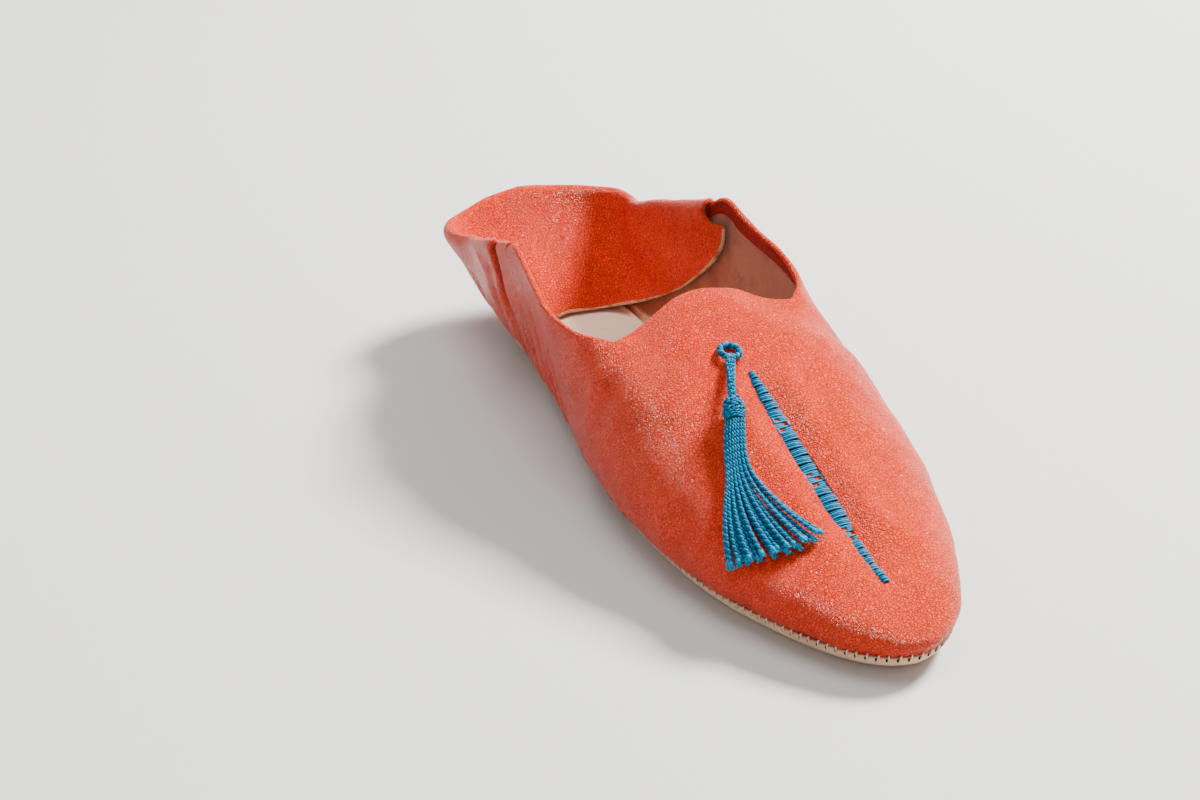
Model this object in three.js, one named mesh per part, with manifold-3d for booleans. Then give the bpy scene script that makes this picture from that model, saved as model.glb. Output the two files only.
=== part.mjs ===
// Babouche slipper: a soft goatskin slipper with a pointed-oval toe, a raised tongue between two side wings and a heel
// that is folded inwards over its rim. A spindle-shaped slit down the vamp is closed by an embroidered band, and a silk
// tassel hangs beside it. The turned-up edge of a thin leather sole is butted to the foot of the upper.
//
// Millimetres. A point of the shoe is (x, along, z): x to the wearer's side, along from the toe tip to the heel end of
// the sole, z up from the floor. The finished group has its toe at -Y and its heel at +Y.
import * as THREE from 'three';
import Module from 'manifold-3d';

const wasm = await Module();
wasm.setup();

// Driving sizes
const SOLE_LENGTH = 260;
const BALL_WIDTH = 84; // across the upper; the sole is narrower by the tuck of its foot
const HEEL_WIDTH = 54;
const FOOT_TUCK = 3.2; // how far the foot of the upper, and the sole with it, is drawn in under the wall
const TUCK_HEIGHT = 3.4; // height over which the wall swells out again
const SEAM_HEIGHT = 6;
const SOLE_THICKNESS = 3;
const EDGE_TURN = 8; // how far in from the outline the sole's edge starts to curl up
const TOE_SPRING = 1.5;
const ARCH_RISE = 1.5;
const INSOLE_THICKNESS = 2;
const WALL = 1.8; // goatskin and suede lining together
const GAP = 0.3; // between pieces that meet
const DIP_HEIGHT = 53; // of the throat's corners, on both sides of the tongue
const TONGUE_RISE = 3; // how far the ridge stands above those corners
const INSTEP_HEIGHT = DIP_HEIGHT + TONGUE_RISE;
const TOE_REACH = 26.5; // from the toe tip back to where the ridge of the vamp starts
const HEEL_REACH = 26.5;
const VAMP_BULGE = 3.2;
const WING_HEIGHT = 60;
const RIM_SIDE_HEIGHT = 38;
const RIM_BACK_HEIGHT = 37;
const FLARE_SIDE = 14; // outward lean of the walls at the wings' height
const FLARE_BACK = 32;
const BACK_LEAN = 4.3; // sideways lean of the soft back at the wings' height
const BACK_TILT = 2; // how much higher than the middle its left corner stands, and lower its right one
const FOLD_RADIUS = 2.6;
const FOLD_CREST = 3; // height of the fold's arch over its two faces
const SLIT_WIDTH = 5;
const TONGUE_CURL = 2.5; // how far the middle of the tongue turns up
const TONGUE_WIDTH = 28;
const THROAT_SAG = 3.5; // how far the throat's edge droops on both sides of the tongue
const SAG_OFFSET = 24;
const SAG_WIDTH = 18;
const SLIT_TROUGH = 0.7;
const SLIT_PUFF = 1.4;
const PUFF_OFFSET = 9; // from the slit's middle line to the crest of the puffed leather
const BAND_THICKNESS = 1.6;
const BAND_RIB = 0.5;
const TASSEL_LOOP_RADIUS = 3;
const TASSEL_CORD_RADIUS = 1.1;
const TASSEL_NECK_RADIUS = 1.7;
const TASSEL_HEAD_RADIUS = 3.5;
const TASSEL_HEAD_LENGTH = 8;
const STRAND_RADIUS = 0.85;
const STRAND_COUNT = 14;
const BAND_BLOCKS = 20;

// Where things lie round the outline, as shares of the way from the toe tip (0) to the middle of the heel (1)
const DIP_AT = 0.496;
const TONGUE_AT = 0.512;
const PEAK_AT = 0.646;
const FOLD_AT = 0.664;
// Where the slit starts and ends, as shares of the sole's length
const SLIT_TOE = 0.108;
const SLIT_THROAT = 0.378;
const BAND_END = 0.08; // share of the slit left free at each end of the band
// Stretches along the sole, as shares of its length: the change from the vamp's sections to leaning walls, the tongue,
// and the soft back
const WALLS = { from: 0.435, to: 0.615 };
const TONGUE = { from: 0.4, to: 0.52 };
const SOFT_BACK = { from: 0.68, to: 0.86 };
// How firmly the crown of the vamp keeps its own section where the walls take over
const CROWN_HOLD = 5;
// Stretches of the underside: the end of the toe spring, and the arch
const SPRING_END = 0.17;
const ARCH = { from: 0.43, to: 0.75 };
// One block of the embroidery along the band: where its section changes, and whether the rib is up there
const BLOCK = [
  { at: 0, rib: 0 },
  { at: 0.12, rib: 1 },
  { at: 0.78, rib: 1 },
  { at: 0.9, rib: 0 },
];

// Half width of the sole: shares of half the ball width and of half the heel width
const OUTLINE = [
  { at: 0, ball: 0, heel: 0 },
  { at: 0.12, ball: 0.38, heel: 0 },
  { at: 0.22, ball: 0.66, heel: 0 },
  { at: 0.32, ball: 0.91, heel: 0 },
  { at: 0.45, ball: 1, heel: 0 },
  { at: 0.6, ball: 0.52, heel: 0.42 },
  { at: 0.72, ball: 0.1, heel: 0.88 },
  { at: 0.82, ball: 0, heel: 0.96 },
  { at: 0.91, ball: 0, heel: 0.75 },
  { at: 1, ball: 0, heel: 0 },
];

// How far the foot is drawn in round the outline, as a share of the tuck
const TUCK = [
  { at: 0, depth: 0 },
  { at: 0.12, depth: 0.25 },
  { at: 0.24, depth: 0.6 },
  { at: 0.34, depth: 1 },
  { at: 0.8, depth: 1 },
  { at: 0.91, depth: 0.6 },
  { at: 1, depth: 0 },
];

// Height of the seam, as a share of the seam height, by share of the length
const SEAM = [
  { at: 0, rise: 1.1 },
  { at: 0.12, rise: 1.02 },
  { at: 0.34, rise: 0.95 },
  { at: 0.58, rise: 0.95 },
  { at: 0.8, rise: 1.1 },
  { at: 1, rise: 1.25 },
];

// Ridge of the vamp, as a share of the instep height, by share of the length
const RIDGE = [
  { at: 0.094, rise: 0.34 },
  { at: 0.163, rise: 0.45 },
  { at: 0.254, rise: 0.6 },
  { at: 0.362, rise: 0.81 },
  { at: 0.489, rise: 1 },
  { at: 0.634, rise: 0.985 },
  { at: 0.9, rise: 0.95 },
];

// Roundness of the vamp's sections round the outline: 1 is elliptical, less is boxier
const ROUNDNESS = [
  { at: 0, power: 0.92 },
  { at: 0.3, power: 0.9 },
  { at: 0.5, power: 0.56 },
  { at: 1, power: 0.56 },
];

// Outward lean of the wall round the outline
const FLARE = [
  { at: 0.5, side: 0.6, back: 0 },
  { at: 0.6, side: 0.57, back: 0 },
  { at: 0.66, side: 0.57, back: 0 },
  { at: 0.74, side: 1, back: 0 },
  { at: 0.82, side: 0.93, back: 0.03 },
  { at: 0.91, side: 0.25, back: 0.9 },
  { at: 1, side: 0, back: 1 },
];

// Height of the upper's top edge, as shares of the four named heights
const TOPLINE = [
  { at: DIP_AT, dip: 1, wing: 0, side: 0, back: 0 },
  { at: 0.525, dip: 0.965, wing: 0, side: 0, back: 0 },
  { at: 0.551, dip: 0.975, wing: 0, side: 0, back: 0 },
  { at: 0.587, dip: 1.02, wing: 0, side: 0, back: 0 },
  { at: 0.618, dip: 0, wing: 0.945, side: 0, back: 0 },
  { at: PEAK_AT, dip: 0, wing: 1, side: 0, back: 0 },
  { at: FOLD_AT, dip: 0, wing: 0.937, side: 0, back: 0 },
  { at: 0.7, dip: 0, wing: 0.855, side: 0, back: 0 },
  { at: 0.74, dip: 0, wing: 0.775, side: 0, back: 0 },
  { at: 0.78, dip: 0, wing: 0.706, side: 0, back: 0 },
  { at: 0.82, dip: 0, wing: 0, side: 1.01, back: 0 },
  { at: 0.86, dip: 0, wing: 0, side: 0.94, back: 0 },
  { at: 0.91, dip: 0, wing: 0, side: 0.46, back: 0.46 },
  { at: 1, dip: 0, wing: 0, side: 0, back: 1 },
];

// Free edge of the folded-in heel, from its start behind the wing (0) to the middle of the heel (1): place along the
// sole, height between the insole and the wing, and spread across the inside
const FLAP_EDGE = [
  { at: 0, along: 0.704, rise: 0.89, spread: 1 },
  { at: 0.15, along: 0.706, rise: 0.76, spread: 1 },
  { at: 0.3, along: 0.728, rise: 0.6, spread: 1 },
  { at: 0.5, along: 0.779, rise: 0.34, spread: 0.98 },
  { at: 0.68, along: 0.853, rise: 0.12, spread: 0.95 },
  { at: 0.82, along: 0.897, rise: 0.02, spread: 0.72 },
  { at: 1, along: 0.916, rise: 0, spread: 0 },
];

// The tassel's line on the left of the vamp: round the outline, and up from the seam (0) to the ridge (1)
const TASSEL_LINE = {
  loop: { at: 0.428, up: 0.985 },
  head: { at: 0.374, up: 0.877 },
  skirt: { at: 0.35, up: 0.805 },
};

// The strands across the skirt, from the outer side (0) to the ridge side (1)
const STRANDS = [
  { at: 0, bendAt: 0.312, bendUp: 0.57, endAt: 0.275, endUp: 0.3 },
  { at: 0.25, bendAt: 0.314, bendUp: 0.59, endAt: 0.262, endUp: 0.38 },
  { at: 0.5, bendAt: 0.316, bendUp: 0.62, endAt: 0.244, endUp: 0.48 },
  { at: 0.75, bendAt: 0.318, bendUp: 0.65, endAt: 0.222, endUp: 0.61 },
  { at: 1, bendAt: 0.32, bendUp: 0.68, endAt: 0.2, endUp: 0.77 },
];

// Mesh steps
const VAMP_COLUMNS = 22;
const SIDE_ROWS = 7;
const ROW_SPREAD = 1.4;
const CROWN_ROWS = 5;
const WING_COLUMNS = 9;
const BACK_COLUMNS = 15;
const FOLD_ROWS = 4;
const FLAP_ROWS = 6;
const TURN_ROWS = 4;
const FLOOR_ROWS = 3;
const SOLE_COLUMNS = 26;
const STRAND_STEPS = 6;
const STRAND_SIDES = 6;

// A smooth curve through one column of a table
function curve(rows, column, at) {
  const last = rows.length - 1;
  const x = Math.min(Math.max(at, rows[0].at), rows[last].at);
  let i = 0;
  while (i < last - 1 && x > rows[i + 1].at) i += 1;
  const step = (k) => rows[k + 1].at - rows[k].at;
  const rise = (k) => (rows[k + 1][column] - rows[k][column]) / step(k);
  const slope = (k) => {
    if (k === 0) return rise(0);
    if (k === last) return rise(last - 1);
    return (rise(k) * step(k - 1) + rise(k - 1) * step(k)) / (step(k - 1) + step(k));
  };
  const s = (x - rows[i].at) / step(i);
  const start = (2 * s ** 3 - 3 * s ** 2 + 1) * rows[i][column];
  const leave = (s ** 3 - 2 * s ** 2 + s) * step(i) * slope(i);
  const end = (3 * s ** 2 - 2 * s ** 3) * rows[i + 1][column];
  const arrive = (s ** 3 - s ** 2) * step(i) * slope(i + 1);
  return start + leave + end + arrive;
}

function ease(from, to, value) {
  const s = Math.min(Math.max((value - from) / (to - from), 0), 1);
  return s * s * (3 - 2 * s);
}

// How far a place along the sole is through a stretch of it
function through(stretch, along) {
  return ease(stretch.from * SOLE_LENGTH, stretch.to * SOLE_LENGTH, along);
}

function mix(from, to, share) {
  return from + (to - from) * share;
}

function outlineSpot(at) {
  const half = (curve(OUTLINE, 'ball', at) * BALL_WIDTH + curve(OUTLINE, 'heel', at) * HEEL_WIDTH) / 2;
  return { half, along: (SOLE_LENGTH / 2) * (1 - Math.cos(Math.PI * at)) };
}

// A point of the sole's outline with its outward direction in plan
function outline(at) {
  const small = 1e-4;
  const before = outlineSpot(Math.max(at - small, 0));
  const after = outlineSpot(Math.min(at + small, 1));
  const across = after.half - before.half;
  const onward = after.along - before.along;
  const length = Math.hypot(across, onward);
  const onMiddleLine = at < small || at > 1 - small;
  return { ...outlineSpot(at), outX: onMiddleLine ? 0 : onward / length, outAlong: -across / length };
}

// How far a point of the wall is drawn in, at a height above the seam
function tuckAt(at, height) {
  return FOOT_TUCK * curve(TUCK, 'depth', at) * Math.exp(-height / TUCK_HEIGHT);
}

function outlineShare(along) {
  return Math.acos(Math.min(Math.max(1 - (2 * along) / SOLE_LENGTH, -1), 1)) / Math.PI;
}

function seamHeight(along) {
  return SEAM_HEIGHT * curve(SEAM, 'rise', along / SOLE_LENGTH);
}

function ridgeHeight(along) {
  return INSTEP_HEIGHT * curve(RIDGE, 'rise', along / SOLE_LENGTH);
}

// The point of the middle line that a section of the outline runs to
function ridgeAlong(along) {
  return TOE_REACH + ((SOLE_LENGTH - TOE_REACH - HEEL_REACH) * along) / SOLE_LENGTH;
}

function toplineHeight(at) {
  return DIP_HEIGHT * curve(TOPLINE, 'dip', at) + WING_HEIGHT * curve(TOPLINE, 'wing', at)
    + RIM_SIDE_HEIGHT * curve(TOPLINE, 'side', at) + RIM_BACK_HEIGHT * curve(TOPLINE, 'back', at);
}

function flareAt(at) {
  return FLARE_SIDE * curve(FLARE, 'side', at) + FLARE_BACK * curve(FLARE, 'back', at);
}

// Outer face of the leather. The vamp's sections run over to the ridge, and the sides and back lean out.
function skin(at, up, level) {
  const edge = outline(at);
  const foot = seamHeight(edge.along) + GAP;
  const ridge = ridgeAlong(edge.along);
  const top = ridgeHeight(ridge);
  const power = curve(ROUNDNESS, 'power', at);
  const share = level === undefined
    ? Math.sin((up * Math.PI) / 2) ** power
    : Math.min(Math.max((level - foot) / (top - foot), 0), 1);
  const z = level === undefined ? mix(foot, top, share) : level;
  const inward = 1 - Math.max(1 - share ** (2 / power), 0) ** (power / 2);
  const bulge = VAMP_BULGE * Math.sin(Math.PI * share) * (1 - inward);
  const lean = (flareAt(at) * (z - foot)) / WING_HEIGHT;
  const leaning = through(WALLS, edge.along) ** (1 + CROWN_HOLD * inward ** 3);
  const tuck = tuckAt(at, z - foot);
  const vampX = edge.half * (1 - inward) + edge.outX * bulge;
  const vampAlong = mix(edge.along, ridge, inward) + edge.outAlong * bulge;
  return {
    x: mix(vampX, edge.half + edge.outX * lean, leaning) - edge.outX * tuck,
    along: mix(vampAlong, edge.along + edge.outAlong * lean, leaning) - edge.outAlong * tuck,
    z,
  };
}

function slitShare(along) {
  return (along / SOLE_LENGTH - SLIT_TOE) / (SLIT_THROAT - SLIT_TOE);
}

function slitHalfWidth(along) {
  const share = slitShare(along);
  if (share <= 0 || share >= 1) return 0;
  return (SLIT_WIDTH / 2) * Math.sin(Math.PI * share);
}

// The leather is drawn down at the slit and puffs up on both sides of it
function slitRelief(x, along) {
  const share = slitShare(along);
  const fade = ease(-0.05, 0.2, share) * (1 - ease(0.85, 1.1, share));
  const trough = SLIT_TROUGH * Math.exp(-((x / (SLIT_WIDTH * 0.8)) ** 2));
  const puff = SLIT_PUFF * Math.exp(-(((Math.abs(x) - PUFF_OFFSET) / (PUFF_OFFSET / 2)) ** 2));
  return fade * (puff - trough);
}

// Puts a point of the shoe in place, with the relief at the slit and the soft back's lean
function placed(x, along, z) {
  const back = through(SOFT_BACK, along);
  const crown = ease(0.5, 0.8, z / ridgeHeight(along));
  const throat = through(TONGUE, along) * (1 - back);
  const curl = TONGUE_CURL * Math.exp(-((x / (TONGUE_WIDTH / 2)) ** 2));
  const sag = THROAT_SAG * Math.exp(-(((Math.abs(x) - SAG_OFFSET) / (SAG_WIDTH / 2)) ** 2));
  const rise = (back * Math.max(z - seamHeight(along) - GAP, 0)) / WING_HEIGHT;
  const lift = crown * (slitRelief(x, along) + throat * (curl - sag)) - (BACK_TILT * rise * x) / HEEL_WIDTH;
  return new THREE.Vector3(x - BACK_LEAN * rise, along - SOLE_LENGTH / 2, z + lift);
}

// A sheet is a list of points and a list of triangles whose outer side is on the right
function newSheet() {
  return { points: [], faces: [], keys: new Map() };
}

function addPoint(sheet, point) {
  const key = [point.x, point.y, point.z].map((value) => Math.round(value * 500)).join(' ');
  if (!sheet.keys.has(key)) {
    sheet.keys.set(key, sheet.points.length);
    sheet.points.push(point);
  }
  return sheet.keys.get(key);
}

function addFace(sheet, a, b, c) {
  if (a !== b && b !== c && c !== a) sheet.faces.push([a, b, c]);
}

// Adds a grid of points. The outer side is where columns go right and rows go up.
function addGrid(sheet, columns, rows, pointAt, flipped = false) {
  const ids = [];
  for (let i = 0; i <= columns; i += 1) {
    ids.push([]);
    for (let j = 0; j <= rows; j += 1) ids[i].push(addPoint(sheet, pointAt(i, j)));
  }
  for (let i = 0; i < columns; i += 1) {
    for (let j = 0; j < rows; j += 1) {
      const corners = [ids[i][j], ids[i + 1][j], ids[i + 1][j + 1], ids[i][j + 1]];
      if (flipped) corners.reverse();
      addFace(sheet, corners[0], corners[1], corners[2]);
      addFace(sheet, corners[0], corners[2], corners[3]);
    }
  }
  return ids;
}

// Moves each point of a sheet along its mean normal
function offsetPoints(sheet, distance) {
  const normals = sheet.points.map(() => new THREE.Vector3());
  const edgeA = new THREE.Vector3();
  const edgeB = new THREE.Vector3();
  for (const [a, b, c] of sheet.faces) {
    edgeA.subVectors(sheet.points[b], sheet.points[a]);
    edgeB.subVectors(sheet.points[c], sheet.points[a]);
    const normal = edgeA.clone().cross(edgeB);
    for (const id of [a, b, c]) normals[id].add(normal);
  }
  return sheet.points.map((point, id) => point.clone().addScaledVector(normals[id].normalize(), distance));
}

// A closed solid between a sheet and a second set of its points
function solidBetween(sheet, innerPoints) {
  const count = sheet.points.length;
  const faces = [...sheet.faces];
  const open = new Map();
  for (const [a, b, c] of sheet.faces) {
    faces.push([a + count, c + count, b + count]);
    for (const [from, to] of [[a, b], [b, c], [c, a]]) {
      if (!open.delete(`${to} ${from}`)) open.set(`${from} ${to}`, [from, to]);
    }
  }
  for (const [from, to] of open.values()) {
    faces.push([from, from + count, to + count], [from, to + count, to]);
  }
  return toGeometry([...sheet.points, ...innerPoints], faces);
}

function toGeometry(points, faces) {
  const geometry = new THREE.BufferGeometry();
  geometry.setAttribute('position', new THREE.Float32BufferAttribute(points.flatMap((p) => [p.x, p.y, p.z]), 3));
  geometry.setIndex(faces.flat());
  return geometry;
}

function toManifold(geometry) {
  return new wasm.Manifold(new wasm.Mesh({
    numProp: 3,
    vertProperties: new Float32Array(geometry.attributes.position.array),
    triVerts: new Uint32Array(geometry.index.array),
  }));
}

function fused(geometries) {
  const solids = geometries.map(toManifold);
  const whole = solids.reduce((sum, solid) => sum.add(solid)).simplify(0.01);
  const mesh = whole.getMesh();
  const geometry = new THREE.BufferGeometry();
  geometry.setAttribute('position', new THREE.Float32BufferAttribute(Array.from(mesh.vertProperties), 3));
  geometry.setIndex(Array.from(mesh.triVerts));
  return geometry;
}

// The upper: vamp, wings and back wall, then over the fold and down the heel's folded-in flap
function makeUpper() {
  const sheet = newSheet();
  const dipAlong = outline(DIP_AT).along;
  const foot = seamHeight(dipAlong) + GAP;
  const dipShare = (DIP_HEIGHT - foot) / (ridgeHeight(ridgeAlong(dipAlong)) - foot);
  const dipUp = (2 / Math.PI) * Math.asin(dipShare ** (1 / curve(ROUNDNESS, 'power', DIP_AT)));
  const rows = SIDE_ROWS + CROWN_ROWS;
  const rowUp = (j, at) => {
    // The side rows lie closer together at the foot
    if (j <= SIDE_ROWS) return dipUp * (j / SIDE_ROWS) ** ROW_SPREAD;
    // The crown's rows are spread evenly between the side rows and the edge of the slit
    const power = curve(ROUNDNESS, 'power', at);
    const spot = outlineSpot(at);
    const crownHalf = spot.half * Math.cos((dipUp * Math.PI) / 2) ** power;
    const slit = crownHalf > SLIT_WIDTH ? slitHalfWidth(ridgeAlong(spot.along)) / crownHalf : 0;
    return mix(1, dipUp, mix(1, slit, (j - SIDE_ROWS) / CROWN_ROWS) ** (1 / power));
  };
  const throatAt = (j) => {
    const share = Math.max(j - SIDE_ROWS, 0) / CROWN_ROWS;
    return mix(DIP_AT, TONGUE_AT, mix(share, ease(0, 1, share), 0.6));
  };
  const sideShare = (j) => (skin(DIP_AT, rowUp(j)).z - foot) / (DIP_HEIGHT - foot);
  const grids = [];
  for (const side of [1, -1]) {
    grids.push(addGrid(sheet, VAMP_COLUMNS, rows, (i, j) => {
      const at = (throatAt(j) * i) / VAMP_COLUMNS;
      const spot = skin(at, rowUp(j, at));
      const x = j === rows ? slitHalfWidth(spot.along) : spot.x;
      return placed(side * x, spot.along, spot.z);
    }, side < 0));
    const wallSpot = (at, j) => {
      const low = seamHeight(outline(at).along) + GAP;
      return skin(at, 0, mix(low, toplineHeight(at), sideShare(j)));
    };
    const wallPoint = (at, j) => {
      const spot = wallSpot(at, j);
      return placed(side * spot.x, spot.along, spot.z);
    };
    const wingAt = (i) => mix(DIP_AT, FOLD_AT, i / WING_COLUMNS);
    const backAt = (i) => mix(FOLD_AT, 1, i / BACK_COLUMNS);
    grids.push(addGrid(sheet, WING_COLUMNS, SIDE_ROWS, (i, j) => wallPoint(wingAt(i), j), side < 0));
    grids.push(addGrid(sheet, BACK_COLUMNS, SIDE_ROWS, (i, j) => wallPoint(backAt(i), j), side < 0));
    addGrid(sheet, BACK_COLUMNS, FOLD_ROWS + FLAP_ROWS, (i, j) => {
      const spot = j === 0 ? wallSpot(backAt(i), SIDE_ROWS) : foldedSpot(backAt(i), j);
      return placed(side * spot.x, spot.along, spot.z);
    }, side < 0);
  }
  const inner = offsetPoints(sheet, -WALL);
  // The foot of the wall is level, to stand on the sole's edge
  for (const ids of grids) {
    for (const column of ids) inner[column[0]].z = sheet.points[column[0]].z;
  }
  return solidBetween(sheet, inner);
}

// A point of the fold over the rim, or of the flap below it
function foldedSpot(at, row) {
  const edge = outline(at);
  const rim = skin(at, 0, toplineHeight(at));
  const lean = flareAt(at) / WING_HEIGHT;
  const length = Math.hypot(1, lean);
  const outward = new THREE.Vector3(edge.outX, edge.outAlong, -lean).divideScalar(length);
  const upward = new THREE.Vector3(edge.outX * lean, edge.outAlong * lean, 1).divideScalar(length);
  const centre = new THREE.Vector3(rim.x, rim.along, rim.z).addScaledVector(outward, -FOLD_RADIUS);
  const turn = (Math.PI * Math.min(row, FOLD_ROWS)) / FOLD_ROWS;
  const spot = centre.addScaledVector(outward, FOLD_RADIUS * Math.cos(turn))
    .addScaledVector(upward, FOLD_CREST * Math.sin(turn));
  if (row > FOLD_ROWS) {
    const end = flapEdgeSpot((at - FOLD_AT) / (1 - FOLD_AT));
    const bend = spot.clone().addScaledVector(upward, -0.45 * spot.distanceTo(end));
    const path = new THREE.QuadraticBezierCurve3(spot.clone(), bend, end);
    spot.copy(path.getPoint((row - FOLD_ROWS) / FLAP_ROWS));
  }
  return { x: at === 1 ? 0 : spot.x, along: spot.y, z: spot.z };
}

function flapEdgeSpot(share) {
  const rest = SOLE_THICKNESS + INSOLE_THICKNESS + WALL + 3 * GAP;
  const along = SOLE_LENGTH * curve(FLAP_EDGE, 'along', share);
  const z = mix(rest, WING_HEIGHT, curve(FLAP_EDGE, 'rise', share));
  const inside = skin(outlineShare(along), 0, z).x - 2 * FOLD_RADIUS;
  return new THREE.Vector3(inside * curve(FLAP_EDGE, 'spread', share), along, z);
}

// Underside of the shoe along the middle line: toe spring, a flat forefoot, a slight arch and a flat heel
function floorHeight(along) {
  const share = along / SOLE_LENGTH;
  const spring = TOE_SPRING * Math.max(1 - share / SPRING_END, 0) ** 2;
  const inArch = Math.min(Math.max((share - ARCH.from) / (ARCH.to - ARCH.from), 0), 1);
  const arch = ARCH_RISE * Math.sin(Math.PI * inArch) ** 2;
  return spring + arch;
}

// A layer of the sole, lifted off the underside by a distance: rows of the turned-up edge, then of the floor
function layerSheet(lift, firstRow) {
  const sheet = newSheet();
  for (const side of [1, -1]) {
    addGrid(sheet, SOLE_COLUMNS, TURN_ROWS + FLOOR_ROWS - firstRow, (i, j) => {
      const row = j + firstRow;
      const at = i / SOLE_COLUMNS;
      const rim = outline(at);
      const tuck = tuckAt(at, 0);
      const half = rim.half - rim.outX * tuck;
      const edgeAlong = rim.along - rim.outAlong * tuck;
      const middle = ridgeAlong(rim.along);
      const reach = Math.hypot(half, middle - edgeAlong);
      const height = seamHeight(rim.along) - floorHeight(rim.along);
      const angle = ((Math.PI / 2) * Math.min(row, TURN_ROWS)) / TURN_ROWS;
      const inX = height * Math.cos(angle);
      const inZ = EDGE_TURN * Math.sin(angle);
      const turned = EDGE_TURN * (1 - Math.cos(angle)) + (lift * inX) / Math.hypot(inX, inZ);
      const inset = mix(turned / reach, 1, Math.max(row - TURN_ROWS, 0) / FLOOR_ROWS);
      const along = mix(edgeAlong, middle, inset);
      const curl = height * (1 - Math.sin(angle)) + (lift * inZ) / Math.hypot(inX, inZ);
      return new THREE.Vector3(
        side * half * (1 - inset), along - SOLE_LENGTH / 2, floorHeight(along) + curl,
      );
    }, side > 0);
  }
  return sheet;
}

function makeLayer(low, high, firstRow) {
  return solidBetween(layerSheet(low, firstRow), layerSheet(high, firstRow).points);
}

// The embroidered band in the slit: a strip with a raised rib for each block of thread
function makeBand() {
  const sheet = newSheet();
  const from = mix(SLIT_TOE, SLIT_THROAT, BAND_END) * SOLE_LENGTH;
  const to = mix(SLIT_TOE, SLIT_THROAT, 1 - BAND_END) * SOLE_LENGTH;
  const columns = BLOCK.length * BAND_BLOCKS;
  const sectionPoint = (i, j) => {
    const spot = BLOCK[i % BLOCK.length];
    const along = mix(from, to, (Math.floor(i / BLOCK.length) + spot.at) / BAND_BLOCKS);
    const half = slitHalfWidth(along) - GAP;
    const crest = placed(0, along, ridgeHeight(along)).z;
    const rib = BAND_RIB * spot.rib;
    const corner = [[-1, 0], [1, 0], [0.85, 1], [-0.85, 1], [-1, 0]][j];
    const z = crest - BAND_THICKNESS + corner[1] * (BAND_THICKNESS + rib);
    return new THREE.Vector3(corner[0] * half, along - SOLE_LENGTH / 2, z);
  };
  addGrid(sheet, columns - 1, 4, sectionPoint);
  for (const i of [0, columns - 1]) {
    const ids = [0, 1, 2, 3].map((j) => addPoint(sheet, sectionPoint(i, j)));
    if (i === 0) ids.reverse();
    addFace(sheet, ids[0], ids[2], ids[1]);
    addFace(sheet, ids[0], ids[3], ids[2]);
  }
  return toGeometry(sheet.points, sheet.faces);
}

// A point above the left side of the vamp, with the leather's outward direction
function onVamp(at, up, lift = 0) {
  const small = 2e-3;
  const pointAt = (a, u) => {
    const spot = skin(a, u);
    return placed(-spot.x, spot.along, spot.z);
  };
  const point = pointAt(at, up);
  const onward = pointAt(at + small, up).sub(pointAt(at - small, up));
  const upward = pointAt(at, Math.min(up + small, 1)).sub(pointAt(at, up - small));
  const normal = upward.cross(onward).normalize();
  return { point: point.addScaledVector(normal, lift), normal };
}

// A closed tube through points, with a radius at each
function tube(points, radii, sides, normal) {
  const sheet = newSheet();
  const last = points.length - 1;
  const ring = (i) => {
    const forward = points[Math.min(i + 1, last)].clone().sub(points[Math.max(i - 1, 0)]).normalize();
    const across = forward.clone().cross(normal).normalize();
    const upward = across.clone().cross(forward);
    return (j) => {
      const angle = (2 * Math.PI * (j % sides)) / sides;
      return points[i].clone().addScaledVector(across, radii[i] * Math.cos(angle))
        .addScaledVector(upward, radii[i] * Math.sin(angle));
    };
  };
  addGrid(sheet, last, sides, (i, j) => ring(i)(j));
  for (const i of [0, last]) {
    const ids = [];
    for (let j = 0; j < sides; j += 1) ids.push(addPoint(sheet, ring(i)(j)));
    if (i === last) ids.reverse();
    for (let j = 1; j < sides - 1; j += 1) addFace(sheet, ids[0], ids[j], ids[j + 1]);
  }
  return toGeometry(sheet.points, sheet.faces);
}

// Line through the tassel's head: its two ends, and the direction away from the leather
function headLine() {
  const lift = TASSEL_HEAD_RADIUS + 2 * GAP;
  const top = onVamp(TASSEL_LINE.head.at, TASSEL_LINE.head.up, lift);
  const low = onVamp(TASSEL_LINE.skirt.at, TASSEL_LINE.skirt.up, lift);
  const forward = low.point.clone().sub(top.point).normalize();
  const end = top.point.clone().addScaledVector(forward, TASSEL_HEAD_LENGTH);
  return { top: top.point, low: end, forward, normal: low.normal };
}

// The ring that the tassel hangs from and the braided neck below it
function makeTasselCord() {
  const lift = TASSEL_CORD_RADIUS + 2 * GAP;
  const seat = onVamp(TASSEL_LINE.loop.at, TASSEL_LINE.loop.up, lift);
  const ring = new THREE.TorusGeometry(TASSEL_LOOP_RADIUS, TASSEL_CORD_RADIUS, 8, 20);
  ring.applyQuaternion(new THREE.Quaternion().setFromUnitVectors(new THREE.Vector3(0, 0, 1), seat.normal));
  ring.translate(seat.point.x, seat.point.y, seat.point.z);
  const head = headLine();
  const end = head.top.clone().addScaledVector(head.forward, -GAP);
  const down = end.clone().sub(seat.point).normalize();
  const start = seat.point.clone().addScaledVector(down, TASSEL_LOOP_RADIUS);
  const bend = end.clone().addScaledVector(head.forward, -0.3 * start.distanceTo(end));
  const path = new THREE.QuadraticBezierCurve3(start, bend, end).getPoints(6);
  const radii = path.map((_, i) => mix(TASSEL_NECK_RADIUS, TASSEL_CORD_RADIUS + GAP, i / 6));
  return fused([welded(ring), tube(path, radii, 8, head.normal)]);
}

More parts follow.
